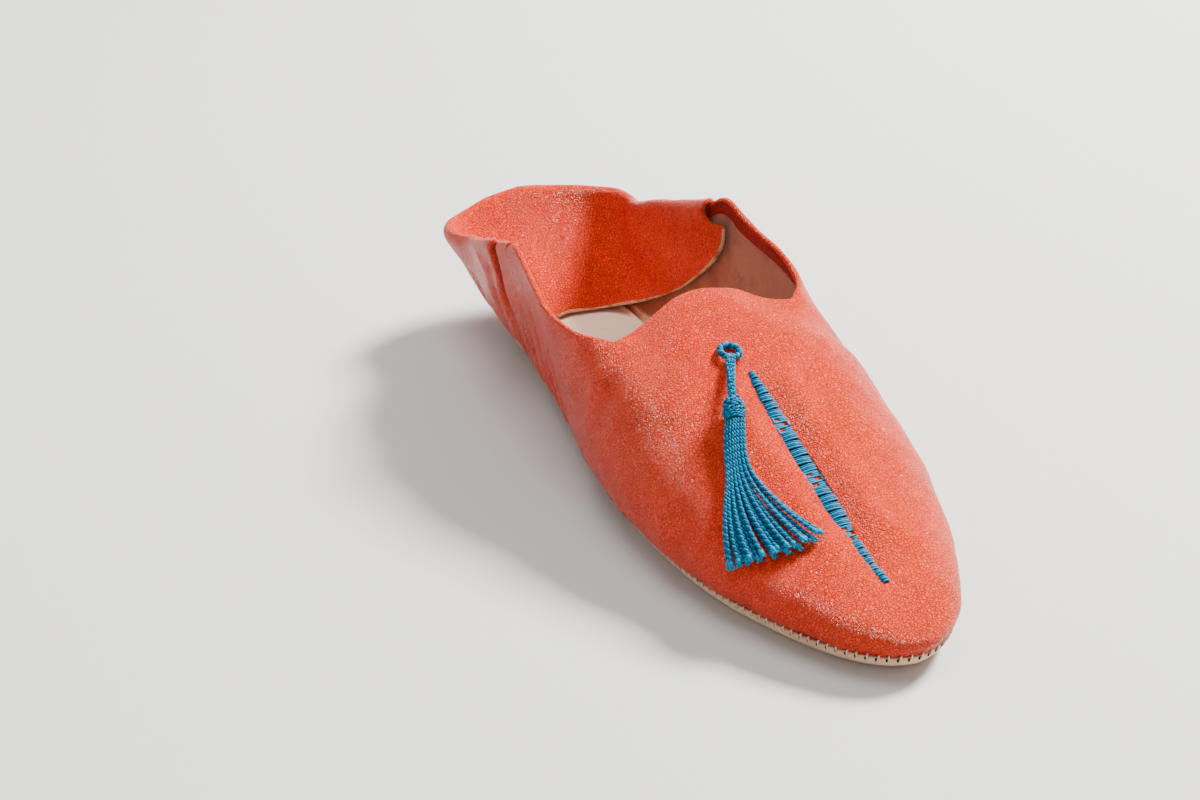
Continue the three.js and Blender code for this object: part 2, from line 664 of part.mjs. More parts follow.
// Joins the seams of a three.js shape so that it is one closed mesh
function welded(geometry) {
  const sheet = newSheet();
  const position = geometry.attributes.position;
  const ids = [];
  for (let i = 0; i < position.count; i += 1) {
    ids.push(addPoint(sheet, new THREE.Vector3().fromBufferAttribute(position, i)));
  }
  const index = geometry.index.array;
  for (let i = 0; i < index.length; i += 3) addFace(sheet, ids[index[i]], ids[index[i + 1]], ids[index[i + 2]]);
  return toGeometry(sheet.points, sheet.faces);
}

// The wound knot: a barrel between the neck and the skirt
function makeTasselHead() {
  const { top, forward } = headLine();
  const profile = [[0, 0], [0.55, 0], [0.9, 0.12], [1, 0.35], [0.93, 0.5], [1, 0.65], [0.92, 0.9], [0.8, 1], [0, 1]];
  const points = profile.map(([r, l]) => new THREE.Vector2(r * TASSEL_HEAD_RADIUS, l * TASSEL_HEAD_LENGTH));
  const barrel = new THREE.LatheGeometry(points, 12);
  barrel.applyQuaternion(new THREE.Quaternion().setFromUnitVectors(new THREE.Vector3(0, 1, 0), forward));
  barrel.translate(top.x, top.y, top.z);
  return welded(barrel);
}

// The skirt: twisted strands that start together under the head and fan out over the vamp
function makeTasselSkirt() {
  const head = headLine();
  const start = head.low.clone().addScaledVector(head.forward, GAP);
  const across = head.forward.clone().cross(head.normal).normalize();
  const reach = TASSEL_HEAD_RADIUS - STRAND_RADIUS;
  const strands = [];
  for (let k = 0; k < STRAND_COUNT; k += 1) {
    const share = k / (STRAND_COUNT - 1);
    const layer = k % 2;
    const rest = STRAND_RADIUS + 2 * GAP + layer * STRAND_RADIUS;
    const root = start.clone().addScaledVector(across, mix(reach, -reach, share))
      .addScaledVector(head.normal, layer * STRAND_RADIUS - 2 * STRAND_RADIUS);
    const rootAt = TASSEL_LINE.skirt.at;
    const rootUp = TASSEL_LINE.skirt.up;
    const points = [];
    for (let i = 0; i <= STRAND_STEPS; i += 1) {
      const s = i / STRAND_STEPS;
      const blend = (a, b, c) => (1 - s) ** 2 * a + 2 * s * (1 - s) * b + s ** 2 * c;
      const at = blend(rootAt, curve(STRANDS, 'bendAt', share), curve(STRANDS, 'endAt', share));
      const up = blend(rootUp, curve(STRANDS, 'bendUp', share), curve(STRANDS, 'endUp', share));
      const lying = onVamp(at, up, rest).point;
      const leaving = 1 - ease(0, 0.45, s);
      const origin = onVamp(rootAt, rootUp, rest).point;
      points.push(lying.addScaledVector(root.clone().sub(origin), leaving));
    }
    const radii = points.map(() => STRAND_RADIUS);
    strands.push(tube(points, radii, STRAND_SIDES, head.normal));
  }
  return fused(strands);
}

function leather(color, roughness) {
  return new THREE.MeshStandardMaterial({ color, roughness, metalness: 0 });
}

const upperLeather = leather('#e8603f', 0.45);
const soleLeather = leather('#d8b496', 0.75);
const insoleLeather = leather('#ead6c2', 0.8);
const silk = leather('#0b86a8', 0.5);

function piece(name, geometry, material) {
  const mesh = new THREE.Mesh(geometry, material);
  mesh.name = name;
  return mesh;
}

const shoe = new THREE.Group();
shoe.name = 'babouche_slipper';
shoe.add(
  piece('sole', makeLayer(0, SOLE_THICKNESS, 0), soleLeather),
  piece(
    'insole',
    makeLayer(SOLE_THICKNESS + GAP, SOLE_THICKNESS + GAP + INSOLE_THICKNESS, TURN_ROWS / 2),
    insoleLeather,
  ),
  piece('upper', makeUpper(), upperLeather),
  piece('embroidery_band', makeBand(), silk),
  piece('tassel_cord', makeTasselCord(), silk),
  piece('tassel_head', makeTasselHead(), silk),
  piece('tassel_skirt', makeTasselSkirt(), silk),
);

// The origin is under the middle of the whole slipper
const bounds = new THREE.Box3().setFromObject(shoe);
const middle = bounds.getCenter(new THREE.Vector3());
shoe.position.set(-middle.x, -middle.y, -bounds.min.z);

export default shoe;
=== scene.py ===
import math

import bpy
import numpy as np
from mathutils import Matrix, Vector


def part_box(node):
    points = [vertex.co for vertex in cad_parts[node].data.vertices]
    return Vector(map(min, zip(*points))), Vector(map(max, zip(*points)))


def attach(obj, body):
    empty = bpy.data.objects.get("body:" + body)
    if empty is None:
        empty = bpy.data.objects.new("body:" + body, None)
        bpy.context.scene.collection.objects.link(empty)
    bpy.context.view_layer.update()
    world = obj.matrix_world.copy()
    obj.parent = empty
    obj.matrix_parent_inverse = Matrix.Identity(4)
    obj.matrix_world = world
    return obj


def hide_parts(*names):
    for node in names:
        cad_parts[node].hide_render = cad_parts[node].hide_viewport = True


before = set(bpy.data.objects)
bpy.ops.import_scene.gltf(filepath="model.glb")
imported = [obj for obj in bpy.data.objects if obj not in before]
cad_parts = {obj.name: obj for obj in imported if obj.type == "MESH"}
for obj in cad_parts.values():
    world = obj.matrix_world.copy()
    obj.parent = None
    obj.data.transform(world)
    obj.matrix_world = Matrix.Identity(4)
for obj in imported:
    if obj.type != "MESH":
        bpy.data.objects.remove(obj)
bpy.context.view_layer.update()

# Babouche slipper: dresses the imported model. Sizes are in millimetres, as in the part's source.
# A point of the shoe is (x, along, z): x to the side, along from the toe tip to the heel end of the sole,
# z up from the floor.
METRES = 0.001

# Sizes shared with the part's source
SOLE_LENGTH = 260
BALL_WIDTH = 84
HEEL_WIDTH = 54
FOOT_TUCK = 3.2
TUCK_HEIGHT = 3.4
SEAM_HEIGHT = 6
SOLE_THICKNESS = 3
EDGE_TURN = 8
TOE_SPRING = 1.5
ARCH_RISE = 1.5
INSOLE_THICKNESS = 2
WALL = 1.8
GAP = 0.3
DIP_HEIGHT = 53
TONGUE_RISE = 3
INSTEP_HEIGHT = DIP_HEIGHT + TONGUE_RISE
TOE_REACH = 26.5
HEEL_REACH = 26.5
VAMP_BULGE = 3.2
WING_HEIGHT = 60
RIM_SIDE_HEIGHT = 38
RIM_BACK_HEIGHT = 37
FLARE_SIDE = 14
FLARE_BACK = 32
BACK_LEAN = 4.3
BACK_TILT = 2
FOLD_RADIUS = 2.6
FOLD_CREST = 3
SLIT_WIDTH = 5
TONGUE_CURL = 2.5
TONGUE_WIDTH = 28
THROAT_SAG = 3.5
SAG_OFFSET = 24
SAG_WIDTH = 18
SLIT_TROUGH = 0.7
SLIT_PUFF = 1.4
PUFF_OFFSET = 9
TASSEL_LOOP_RADIUS = 3
TASSEL_CORD_RADIUS = 1.1
TASSEL_HEAD_RADIUS = 3.5
TASSEL_HEAD_LENGTH = 8
STRAND_RADIUS = 0.85

# Places shared with the part's source, as shares of the way round the outline or along the sole
DIP_AT = 0.496
TONGUE_AT = 0.512
PEAK_AT = 0.646
FOLD_AT = 0.664
SLIT_TOE = 0.108
SLIT_THROAT = 0.378
WALLS = (0.435, 0.615)
TONGUE = (0.4, 0.52)
SOFT_BACK = (0.68, 0.86)
CROWN_HOLD = 5
SPRING_END = 0.17
ARCH = (0.43, 0.75)

OUTLINE = {
    "at": [0, 0.12, 0.22, 0.32, 0.45, 0.6, 0.72, 0.82, 0.91, 1],
    "ball": [0, 0.38, 0.66, 0.91, 1, 0.52, 0.1, 0, 0, 0],
    "heel": [0, 0, 0, 0, 0, 0.42, 0.88, 0.96, 0.75, 0],
}
TUCK = {"at": [0, 0.12, 0.24, 0.34, 0.8, 0.91, 1], "depth": [0, 0.25, 0.6, 1, 1, 0.6, 0]}
SEAM = {"at": [0, 0.12, 0.34, 0.58, 0.8, 1], "rise": [1.1, 1.02, 0.95, 0.95, 1.1, 1.25]}
RIDGE = {
    "at": [0.094, 0.163, 0.254, 0.362, 0.489, 0.634, 0.9],
    "rise": [0.34, 0.45, 0.6, 0.81, 1, 0.985, 0.95],
}
ROUNDNESS = {"at": [0, 0.3, 0.5, 1], "power": [0.92, 0.9, 0.56, 0.56]}
FLARE = {
    "at": [0.5, 0.6, 0.66, 0.74, 0.82, 0.91, 1],
    "side": [0.6, 0.57, 0.57, 1, 0.93, 0.25, 0],
    "back": [0, 0, 0, 0, 0.03, 0.9, 1],
}
TOPLINE = {
    "at": [DIP_AT, 0.525, 0.551, 0.587, 0.618, PEAK_AT, FOLD_AT, 0.7, 0.74, 0.78, 0.82, 0.86, 0.91, 1],
    "dip": [1, 0.965, 0.975, 1.02, 0, 0, 0, 0, 0, 0, 0, 0, 0, 0],
    "wing": [0, 0, 0, 0, 0.945, 1, 0.937, 0.855, 0.775, 0.706, 0, 0, 0, 0],
    "side": [0, 0, 0, 0, 0, 0, 0, 0, 0, 0, 1.01, 0.94, 0.46, 0],
    "back": [0, 0, 0, 0, 0, 0, 0, 0, 0, 0, 0, 0, 0.46, 1],
}
FLAP_EDGE = {
    "at": [0, 0.15, 0.3, 0.5, 0.68, 0.82, 1],
    "along": [0.704, 0.706, 0.728, 0.779, 0.853, 0.897, 0.916],
    "rise": [0.89, 0.76, 0.6, 0.34, 0.12, 0.02, 0],
    "spread": [1, 1, 1, 0.98, 0.95, 0.72, 0],
}
TASSEL_LOOP = (0.428, 0.985)
TASSEL_HEAD = (0.374, 0.877)
TASSEL_SKIRT = (0.35, 0.805)
STRANDS = {
    "at": [0, 0.25, 0.5, 0.75, 1],
    "bend_at": [0.312, 0.314, 0.316, 0.318, 0.32],
    "bend_up": [0.57, 0.59, 0.62, 0.65, 0.68],
    "end_at": [0.275, 0.262, 0.244, 0.222, 0.2],
    "end_up": [0.3, 0.38, 0.48, 0.61, 0.77],
}

# Mesh steps
VAMP_COLUMNS = 130
SIDE_ROWS = 40
ROW_SPREAD = 1.4
CROWN_ROWS = 46
WING_COLUMNS = 36
BACK_COLUMNS = 84
FOLD_ROWS = 10
FLAP_ROWS = 40
RIM_ROWS = 6
SOLE_COLUMNS = 150
TURN_ROWS = 14
FLOOR_ROWS = 16

# The stitched seam round the sole
STITCH_PITCH = 3.0
STITCH_RADIUS = 0.27
STITCH_RISE = 0.7
STITCH_DROP = 1.1
STITCH_SLANT = 0.35
HOLE_DROP = 0.75

# The embroidery on the vamp, which reaches further towards the toe than the slit itself
EMBROIDERY_TOE = 0.07
EMBROIDERY_THROAT = 0.381
EMBROIDERY_WIDTH = 5.6
BLOCK_LENGTH = 3.1
BLOCK_THREADS = 4
THREAD_RADIUS = 0.33
THREAD_CREST = 0.62
CHECK_CREST = 0.18
CHECK_SPOTS = (0.31, 0.232, 0.15)
CHECK_ROWS = 3

# How far the left flap's front corner lies behind the right one's
FLAP_TUCK = 5

# The tassel's plait and its outer strands, which lie over those of the part's source
BRAID_PITCH = 5.6
BRAID_RADIUS = 0.62
FRINGE_STRANDS = 24
FRINGE_LAYERS = 3
FRINGE_RADIUS = 0.74

# Kinds of edge and zones of the upper's outer face, noted for each of its points
EDGE_FOOT = 1
EDGE_TOP = 2
EDGE_SLIT = 3
EDGE_RAW = 4
# How far each kind of edge bulges, from no edge to the raw edge
EDGE_BULGE = [0.5, 0.0, 1.0, 0.35, 0.5]
ZONE_VAMP = 0
ZONE_WING = 1
ZONE_BACK = 2
ZONE_FLAP = 3
# Stands for a distance that plays no part
FAR = 99.0

# How the columns crowd towards the fold's front end
WING_CROWDING = 1.35
BACK_CROWDING = 1.25

# The turned-in hem at the throat and along the wings
HEM_WIDTH = 4.2
HEM_FACE_WIDTH = 4.4
HEM_EXTRA = 0.25
HEM_STRETCH = 1.2
LINED_THINNING = 0.15

# The folded-in flap: how straight it leaves the fold, and where its raw edge starts to show
FLAP_BEND = 0.45
FLAP_TUCK_FADE = 0.03
RAW_FROM_LEFT = 0.06
RAW_FROM_RIGHT = 0.002

# The groove behind each ear
GROOVE_LEFT_AT = 0.694
GROOVE_RIGHT_AT = FOLD_AT + 0.004
GROOVE_STRETCH = 1.35
GROOVE_WIDTH = 1.5
GROOVE_LEFT_DEPTH = 2.3
GROOVE_RIGHT_DEPTH = 1.2
GROOVE_LEFT_LEAN = 0.08
GROOVE_FADE = (9, 26)
GROOVE_OVER_RIM = 1.5

# How the stitches pull the foot of the upper in
PULL_DEPTH = 0.32
PULL_HEIGHT = 2.6

# The short wrinkles beside the slit: from where to where they set in and fade, sideways and along
WRINKLE_DEPTH = 0.13
WRINKLE_IN = (3.2, 5.5)
WRINKLE_OUT = (9, 19)
WRINKLE_TOE = (0.09 * SOLE_LENGTH, 0.15 * SOLE_LENGTH)
WRINKLE_THROAT = (0.36 * SOLE_LENGTH, 0.43 * SOLE_LENGTH)

# Creases in the leather: side (-1 left, 1 right), from and to as (round the outline, up to the ridge or
# top edge), width and depth in millimetres.
CREASES = [
    (-1, (0.545, 0.05), (0.575, 0.62), 2.6, 0.9),
    (-1, (0.572, 0.02), (0.6, 0.5), 2.2, 0.8),
    (-1, (0.6, 0.03), (0.628, 0.7), 2.4, 0.7),
    (-1, (0.63, 0.02), (0.655, 0.45), 2.0, 0.8),
    (-1, (0.69, 0.05), (0.7, 0.75), 2.6, 0.7),
    (-1, (0.74, 0.2), (0.72, 0.9), 2.8, 0.6),
    (1, (0.55, 0.05), (0.572, 0.55), 2.6, 0.8),
    (1, (0.585, 0.02), (0.612, 0.6), 2.3, 0.8),
    (1, (0.62, 0.04), (0.65, 0.55), 2.2, 0.7),
    (1, (0.7, 0.06), (0.71, 0.8), 2.6, 0.7),
    (1, (0.76, 0.1), (0.74, 0.85), 2.6, 0.6),
    (-1, (0.82, 0.1), (0.86, 0.7), 3.2, 0.7),
    (1, (0.84, 0.15), (0.88, 0.75), 3.2, 0.7),
    (-1, (0.9, 0.45), (0.99, 0.5), 3.0, 0.6),
    (1, (0.9, 0.5), (0.99, 0.42), 3.0, 0.6),
    (-1, (0.33, 0.1), (0.35, 0.5), 4.0, 0.4),
    (1, (0.3, 0.12), (0.33, 0.5), 4.0, 0.4),
    (-1, (0.46, 0.1), (0.47, 0.55), 3.4, 0.5),
    (1, (0.45, 0.1), (0.465, 0.6), 3.4, 0.5),
]

# Colours, linear
ORANGE = (0.86, 0.030, 0.002, 1)
ORANGE_LIGHT = (0.93, 0.054, 0.004, 1)
# The colour that the goatskin's painted shade draws towards
ORANGE_PAINTED_SHADE = (0.30, 0.006, 0.003, 1)
HEM_PAINTED_SHADE_RED = (0.42, 0.010, 0.006, 1)
SUEDE = (0.34, 0.115, 0.055, 1)
SUEDE_DARK = (0.2, 0.058, 0.028, 1)
RAW_EDGE = (0.66, 0.42, 0.25, 1)
SOLE_TAN = (0.74, 0.47, 0.29, 1)
SOLE_TAN_DARK = (0.50, 0.27, 0.15, 1)
INSOLE_CREAM = (0.90, 0.74, 0.56, 1)
INSOLE_CREAM_DARK = (0.76, 0.57, 0.40, 1)
TEAL = (0.0, 0.13, 0.26, 1)
# Silk colours: the light one is a painted highlight, the deep one painted shade
TEAL_PAINTED_HIGHLIGHT = (0.0, 0.27, 0.46, 1)
TEAL_PAINTED_SHADE = (0.0, 0.035, 0.08, 1)
TEAL_GAP_SHADE = (0.0, 0.012, 0.03, 1)
THREAD_PALE = (0.84, 0.72, 0.56, 1)
HOLE_SHADE = (0.010, 0.005, 0.003, 1)
FLOOR_WHITE = (0.66, 0.65, 0.635, 1)


# Helpers for numbers

def curve(table, column, at):
    """A smooth curve through one column of a table"""
    spots = np.array(table["at"], float)
    values = np.array(table[column], float)
    at = np.clip(np.asarray(at, float), spots[0], spots[-1])
    step = np.diff(spots)
    rise = np.diff(values) / step
    slope = np.empty_like(values)
    slope[0] = rise[0]
    slope[-1] = rise[-1]
    slope[1:-1] = (rise[1:] * step[:-1] + rise[:-1] * step[1:]) / (step[:-1] + step[1:])
    i = np.clip(np.searchsorted(spots, at, side="right") - 1, 0, len(spots) - 2)
    s = (at - spots[i]) / step[i]
    start = (2 * s**3 - 3 * s**2 + 1) * values[i]
    leave = (s**3 - 2 * s**2 + s) * step[i] * slope[i]
    end = (3 * s**2 - 2 * s**3) * values[i + 1]
    arrive = (s**3 - s**2) * step[i] * slope[i + 1]
    return start + leave + end + arrive


def ease(start, end, value):
    s = np.clip((np.asarray(value, float) - start) / (end - start), 0, 1)
    return s * s * (3 - 2 * s)


def through(stretch, along):
    return ease(stretch[0] * SOLE_LENGTH, stretch[1] * SOLE_LENGTH, along)


def mix(start, end, share):
    return start + (end - start) * share


def unit(vectors):
    length = np.linalg.norm(vectors, axis=-1, keepdims=True)
    return vectors / np.maximum(length, 1e-12)


# The slipper's surface, as in the part's source

def outline_spot(at):
    half = (curve(OUTLINE, "ball", at) * BALL_WIDTH + curve(OUTLINE, "heel", at) * HEEL_WIDTH) / 2
    return half, SOLE_LENGTH / 2 * (1 - np.cos(np.pi * at))


def outline(at):
    """Half width, place along the sole, and outward direction in plan"""
    at = np.asarray(at, float)
    small = 1e-4
    before = outline_spot(np.maximum(at - small, 0))
    after = outline_spot(np.minimum(at + small, 1))
    across = after[0] - before[0]
    onward = after[1] - before[1]
    length = np.hypot(across, onward)
    on_middle_line = (at < small) | (at > 1 - small)
    half, along = outline_spot(at)
    return half, along, np.where(on_middle_line, 0, onward / length), -across / length


def tuck_at(at, height):
    """How far a point of the wall is drawn in, at a height above the seam"""
    return FOOT_TUCK * curve(TUCK, "depth", at) * np.exp(-height / TUCK_HEIGHT)


def seam_line(at):
    """Half width and place along the sole where the sole meets the upper, and the outward direction"""
    half, along, out_x, out_along = outline(at)
    tuck = tuck_at(at, 0)
    return half - out_x * tuck, along - out_along * tuck, out_x, out_along


def outline_share(along):
    return np.arccos(np.clip(1 - 2 * along / SOLE_LENGTH, -1, 1)) / np.pi


def seam_height(along):
    return SEAM_HEIGHT * curve(SEAM, "rise", along / SOLE_LENGTH)


def ridge_height(along):
    return INSTEP_HEIGHT * curve(RIDGE, "rise", along / SOLE_LENGTH)


def ridge_along(along):
    return TOE_REACH + (SOLE_LENGTH - TOE_REACH - HEEL_REACH) * along / SOLE_LENGTH


def topline_height(at):
    return (
        DIP_HEIGHT * curve(TOPLINE, "dip", at)
        + WING_HEIGHT * curve(TOPLINE, "wing", at)
        + RIM_SIDE_HEIGHT * curve(TOPLINE, "side", at)
        + RIM_BACK_HEIGHT * curve(TOPLINE, "back", at)
    )


def flare_at(at):
    return FLARE_SIDE * curve(FLARE, "side", at) + FLARE_BACK * curve(FLARE, "back", at)


def skin(at, up=None, level=None):
    """Outer face of the leather, at a share of the way up or at a height"""
    half, edge_along, out_x, out_along = outline(at)
    foot = seam_height(edge_along) + GAP
    ridge = ridge_along(edge_along)
    top = ridge_height(ridge)
    power = curve(ROUNDNESS, "power", at)
    if level is None:
        share = np.sin(np.asarray(up) * np.pi / 2) ** power
        z = mix(foot, top, share)
    else:
        share = np.clip((level - foot) / (top - foot), 0, 1)
        z = level + 0 * foot
    inward = 1 - np.maximum(1 - share ** (2 / power), 0) ** (power / 2)
    bulge = VAMP_BULGE * np.sin(np.pi * share) * (1 - inward)
    lean = flare_at(at) * (z - foot) / WING_HEIGHT
    leaning = through(WALLS, edge_along) ** (1 + CROWN_HOLD * inward**3)
    tuck = tuck_at(at, z - foot)
    vamp_x = half * (1 - inward) + out_x * bulge
    vamp_along = mix(edge_along, ridge, inward) + out_along * bulge
    x = mix(vamp_x, half + out_x * lean, leaning) - out_x * tuck
    along = mix(vamp_along, edge_along + out_along * lean, leaning) - out_along * tuck
    return x, along, z


def slit_share(along):
    return (along / SOLE_LENGTH - SLIT_TOE) / (SLIT_THROAT - SLIT_TOE)


def slit_half_width(along):
    share = slit_share(along)
    inside = (share > 0) & (share < 1)
    return np.where(inside, SLIT_WIDTH / 2 * np.sin(np.pi * np.clip(share, 0, 1)), 0)


def slit_relief(x, along):
    share = slit_share(along)
    fade = ease(-0.05, 0.2, share) * (1 - ease(0.85, 1.1, share))
    trough = SLIT_TROUGH * np.exp(-((x / (SLIT_WIDTH * 0.8)) ** 2))
    puff = SLIT_PUFF * np.exp(-(((np.abs(x) - PUFF_OFFSET) / (PUFF_OFFSET / 2)) ** 2))
    return fade * (puff - trough)


sole_low, sole_high = (np.array(corner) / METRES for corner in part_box("sole"))
MIDDLE_X = (sole_low[0] + sole_high[0]) / 2
TOE_Y = sole_low[1]


def placed(x, along, z):
    """Points in the row frame, with the relief at the slit and the soft back's lean"""
    back = through(SOFT_BACK, along)
    crown = ease(0.5, 0.8, z / ridge_height(along))
    throat = through(TONGUE, along) * (1 - back)
    curl = TONGUE_CURL * np.exp(-((x / (TONGUE_WIDTH / 2)) ** 2))
    sag = THROAT_SAG * np.exp(-(((np.abs(x) - SAG_OFFSET) / (SAG_WIDTH / 2)) ** 2))
    rise = back * np.maximum(z - seam_height(along) - GAP, 0) / WING_HEIGHT
    lift = crown * (slit_relief(x, along) + throat * (curl - sag)) - BACK_TILT * rise * x / HEEL_WIDTH
    return np.stack([x - BACK_LEAN * rise + MIDDLE_X, along + TOE_Y, z + lift], -1)


# Meshes

class Sheet:
    """Grids of points, joined where they meet, with named numbers kept for each point"""

    def __init__(self):
        self.points = []
        self.quads = []
        self.notes = {}
        self.count = 0

    def grid(self, points, flipped, **notes):
        columns, rows = points.shape[:2]
        ids = np.arange(columns * rows).reshape(columns, rows) + self.count
        quads = np.stack([ids[:-1, :-1], ids[1:, :-1], ids[1:, 1:], ids[:-1, 1:]], -1).reshape(-1, 4)
        self.quads.append(quads[:, ::-1] if flipped else quads)
        self.points.append(points.reshape(-1, 3))
        for name, values in notes.items():
            full = np.broadcast_to(np.asarray(values, float), (columns, rows))
            self.notes.setdefault(name, []).append(full.reshape(-1))
        self.count += columns * rows

    def join(self):
        points = np.concatenate(self.points)
        quads = np.concatenate(self.quads)
        _, first, index = np.unique(np.round(points * 500), axis=0, return_index=True, return_inverse=True)
        self.points = points[first]
        self.quads = index.reshape(-1)[quads]
        self.notes = {name: np.concatenate(values)[first] for name, values in self.notes.items()}
        return self


def normals_of(points, quads):
    diagonal_a = points[quads[:, 2]] - points[quads[:, 0]]
    diagonal_b = points[quads[:, 3]] - points[quads[:, 1]]
    face_normals = np.cross(diagonal_a, diagonal_b)
    normals = np.zeros_like(points)
    for k in range(4):
        np.add.at(normals, quads[:, k], face_normals)
    return unit(normals)


def border_of(quads):
    """Edges of only one face, each in that face's order"""
    edges = np.concatenate([quads[:, [k, (k + 1) % 4]] for k in range(4)])
    edges = edges[edges[:, 0] != edges[:, 1]]
    ordered = np.sort(edges, axis=1)
    key = ordered[:, 0] * 10_000_000 + ordered[:, 1]
    _, first, count = np.unique(key, return_index=True, return_counts=True)
    return edges[first[count == 1]]


def make_object(name, points, faces, materials, face_materials=None, painted_shades=None, slot=None, smooth=True):
    """A piece of the slipper from points in millimetres and faces"""
    mesh = bpy.data.meshes.new(name)
    clean = []
    kept = []
    for k, face in enumerate(faces.tolist() if isinstance(faces, np.ndarray) else faces):
        corners = list(dict.fromkeys(face))
        if len(corners) > 2:
            clean.append(corners)
            kept.append(k)
    mesh.from_pydata((np.asarray(points) * METRES).tolist(), [], clean)
    for material in materials:
        mesh.materials.append(material)
    if face_materials is not None:
        mesh.polygons.foreach_set("material_index", np.asarray(face_materials, np.int32)[kept])
    mesh.polygons.foreach_set("use_smooth", np.full(len(clean), smooth))
    # The per-point attribute carries painted shade into the materials
    if painted_shades is not None:
        attribute = mesh.attributes.new("painted_shade", "FLOAT", "POINT")
        attribute.data.foreach_set("value", np.asarray(painted_shades, np.float32))
    mesh.update()
    piece = bpy.data.objects.new(name, mesh)
    bpy.context.scene.collection.objects.link(piece)
    if slot:
        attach(piece, "root")
    return piece


class Bundle:
    """Many small forms in one mesh"""

    def __init__(self):
        self.points = []
        self.faces = []
        self.materials = []
        self.count = 0

    def add(self, points, faces, material=0):
        self.faces.extend((np.asarray(face) + self.count).tolist() for face in faces)
        self.points.append(np.asarray(points, float))
        self.materials.extend([material] * len(faces))
        self.count += len(points)

    def tube(self, path, radii, sides=7, material=0, start_up=None, phase=0.0):
        path = np.asarray(path, float)
        _, across, upward = frames_along(path, start_up)
        angle = 2 * np.pi * np.arange(sides) / sides + phase
        radii = np.broadcast_to(np.asarray(radii, float), (len(path),))
        ring = (
            across[:, None] * np.cos(angle)[None, :, None] + upward[:, None] * np.sin(angle)[None, :, None]
        )
        points = path[:, None] + radii[:, None, None] * ring
        ids = np.arange(len(path) * sides).reshape(len(path), sides)
        after = np.roll(ids, -1, axis=1)
        quads = np.stack([ids[:-1], after[:-1], after[1:], ids[1:]], -1).reshape(-1, 4)
        faces = quads.tolist() + [ids[0][::-1].tolist(), ids[-1].tolist()]
        self.add(points.reshape(-1, 3), faces, material)

    def finish(self, name, materials, slot):
        return make_object(name, np.concatenate(self.points), self.faces, materials, self.materials, slot=slot)


def frames_along(path, start_up=None):
    """Forward, across and up directions along a path, turned as little as possible"""
    forward = unit(np.gradient(path, axis=0))
    up = np.array([0.0, 0.0, 1.0]) if start_up is None else np.asarray(start_up, float)
    across = np.empty_like(path)
    upward = np.empty_like(path)
    for i in range(len(path)):
        side = np.cross(forward[i], up)
        if np.linalg.norm(side) < 1e-6:
            side = np.cross(forward[i], [1.0, 0.0, 0.0])
        across[i] = unit(side)
        upward[i] = np.cross(across[i], forward[i])
        up = upward[i]
    return forward, across, upward


def resampled(path, count):
    path = np.asarray(path, float)
    steps = np.concatenate([[0], np.cumsum(np.linalg.norm(np.diff(path, axis=0), axis=1))])
    spots = np.linspace(0, steps[-1], count)
    return np.stack([np.interp(spots, steps, path[:, k]) for k in range(3)], -1), steps[-1]


def add_rope(bundle, path, radius, plies, pitch, start_up, hand=1, sides=7, second=None, phase=0.0):
    """A cord of twisted plies, every other one of the second material, a darker copy that paints shade on the twist
    """
    _, length = resampled(path, 2)
    count = max(int(length / 0.42), 6)
    path, length = resampled(path, count)
    radius = np.interp(np.linspace(0, 1, count), np.linspace(0, 1, np.size(radius)), np.atleast_1d(radius))
    _, across, upward = frames_along(path, start_up)
    distance = np.linspace(0, length, count)
    ply_radius = radius * (0.53 if plies == 2 else 0.5)
    for ply in range(plies):
        turn = hand * 2 * np.pi * distance / pitch + 2 * np.pi * ply / plies + phase
        offset = radius - ply_radius
        line = path + (offset * np.cos(turn))[:, None] * across + (offset * np.sin(turn))[:, None] * upward
        material = second if second is not None and ply % 2 else 0
        bundle.tube(line, ply_radius, sides=sides, material=material, start_up=start_up)


# Materials

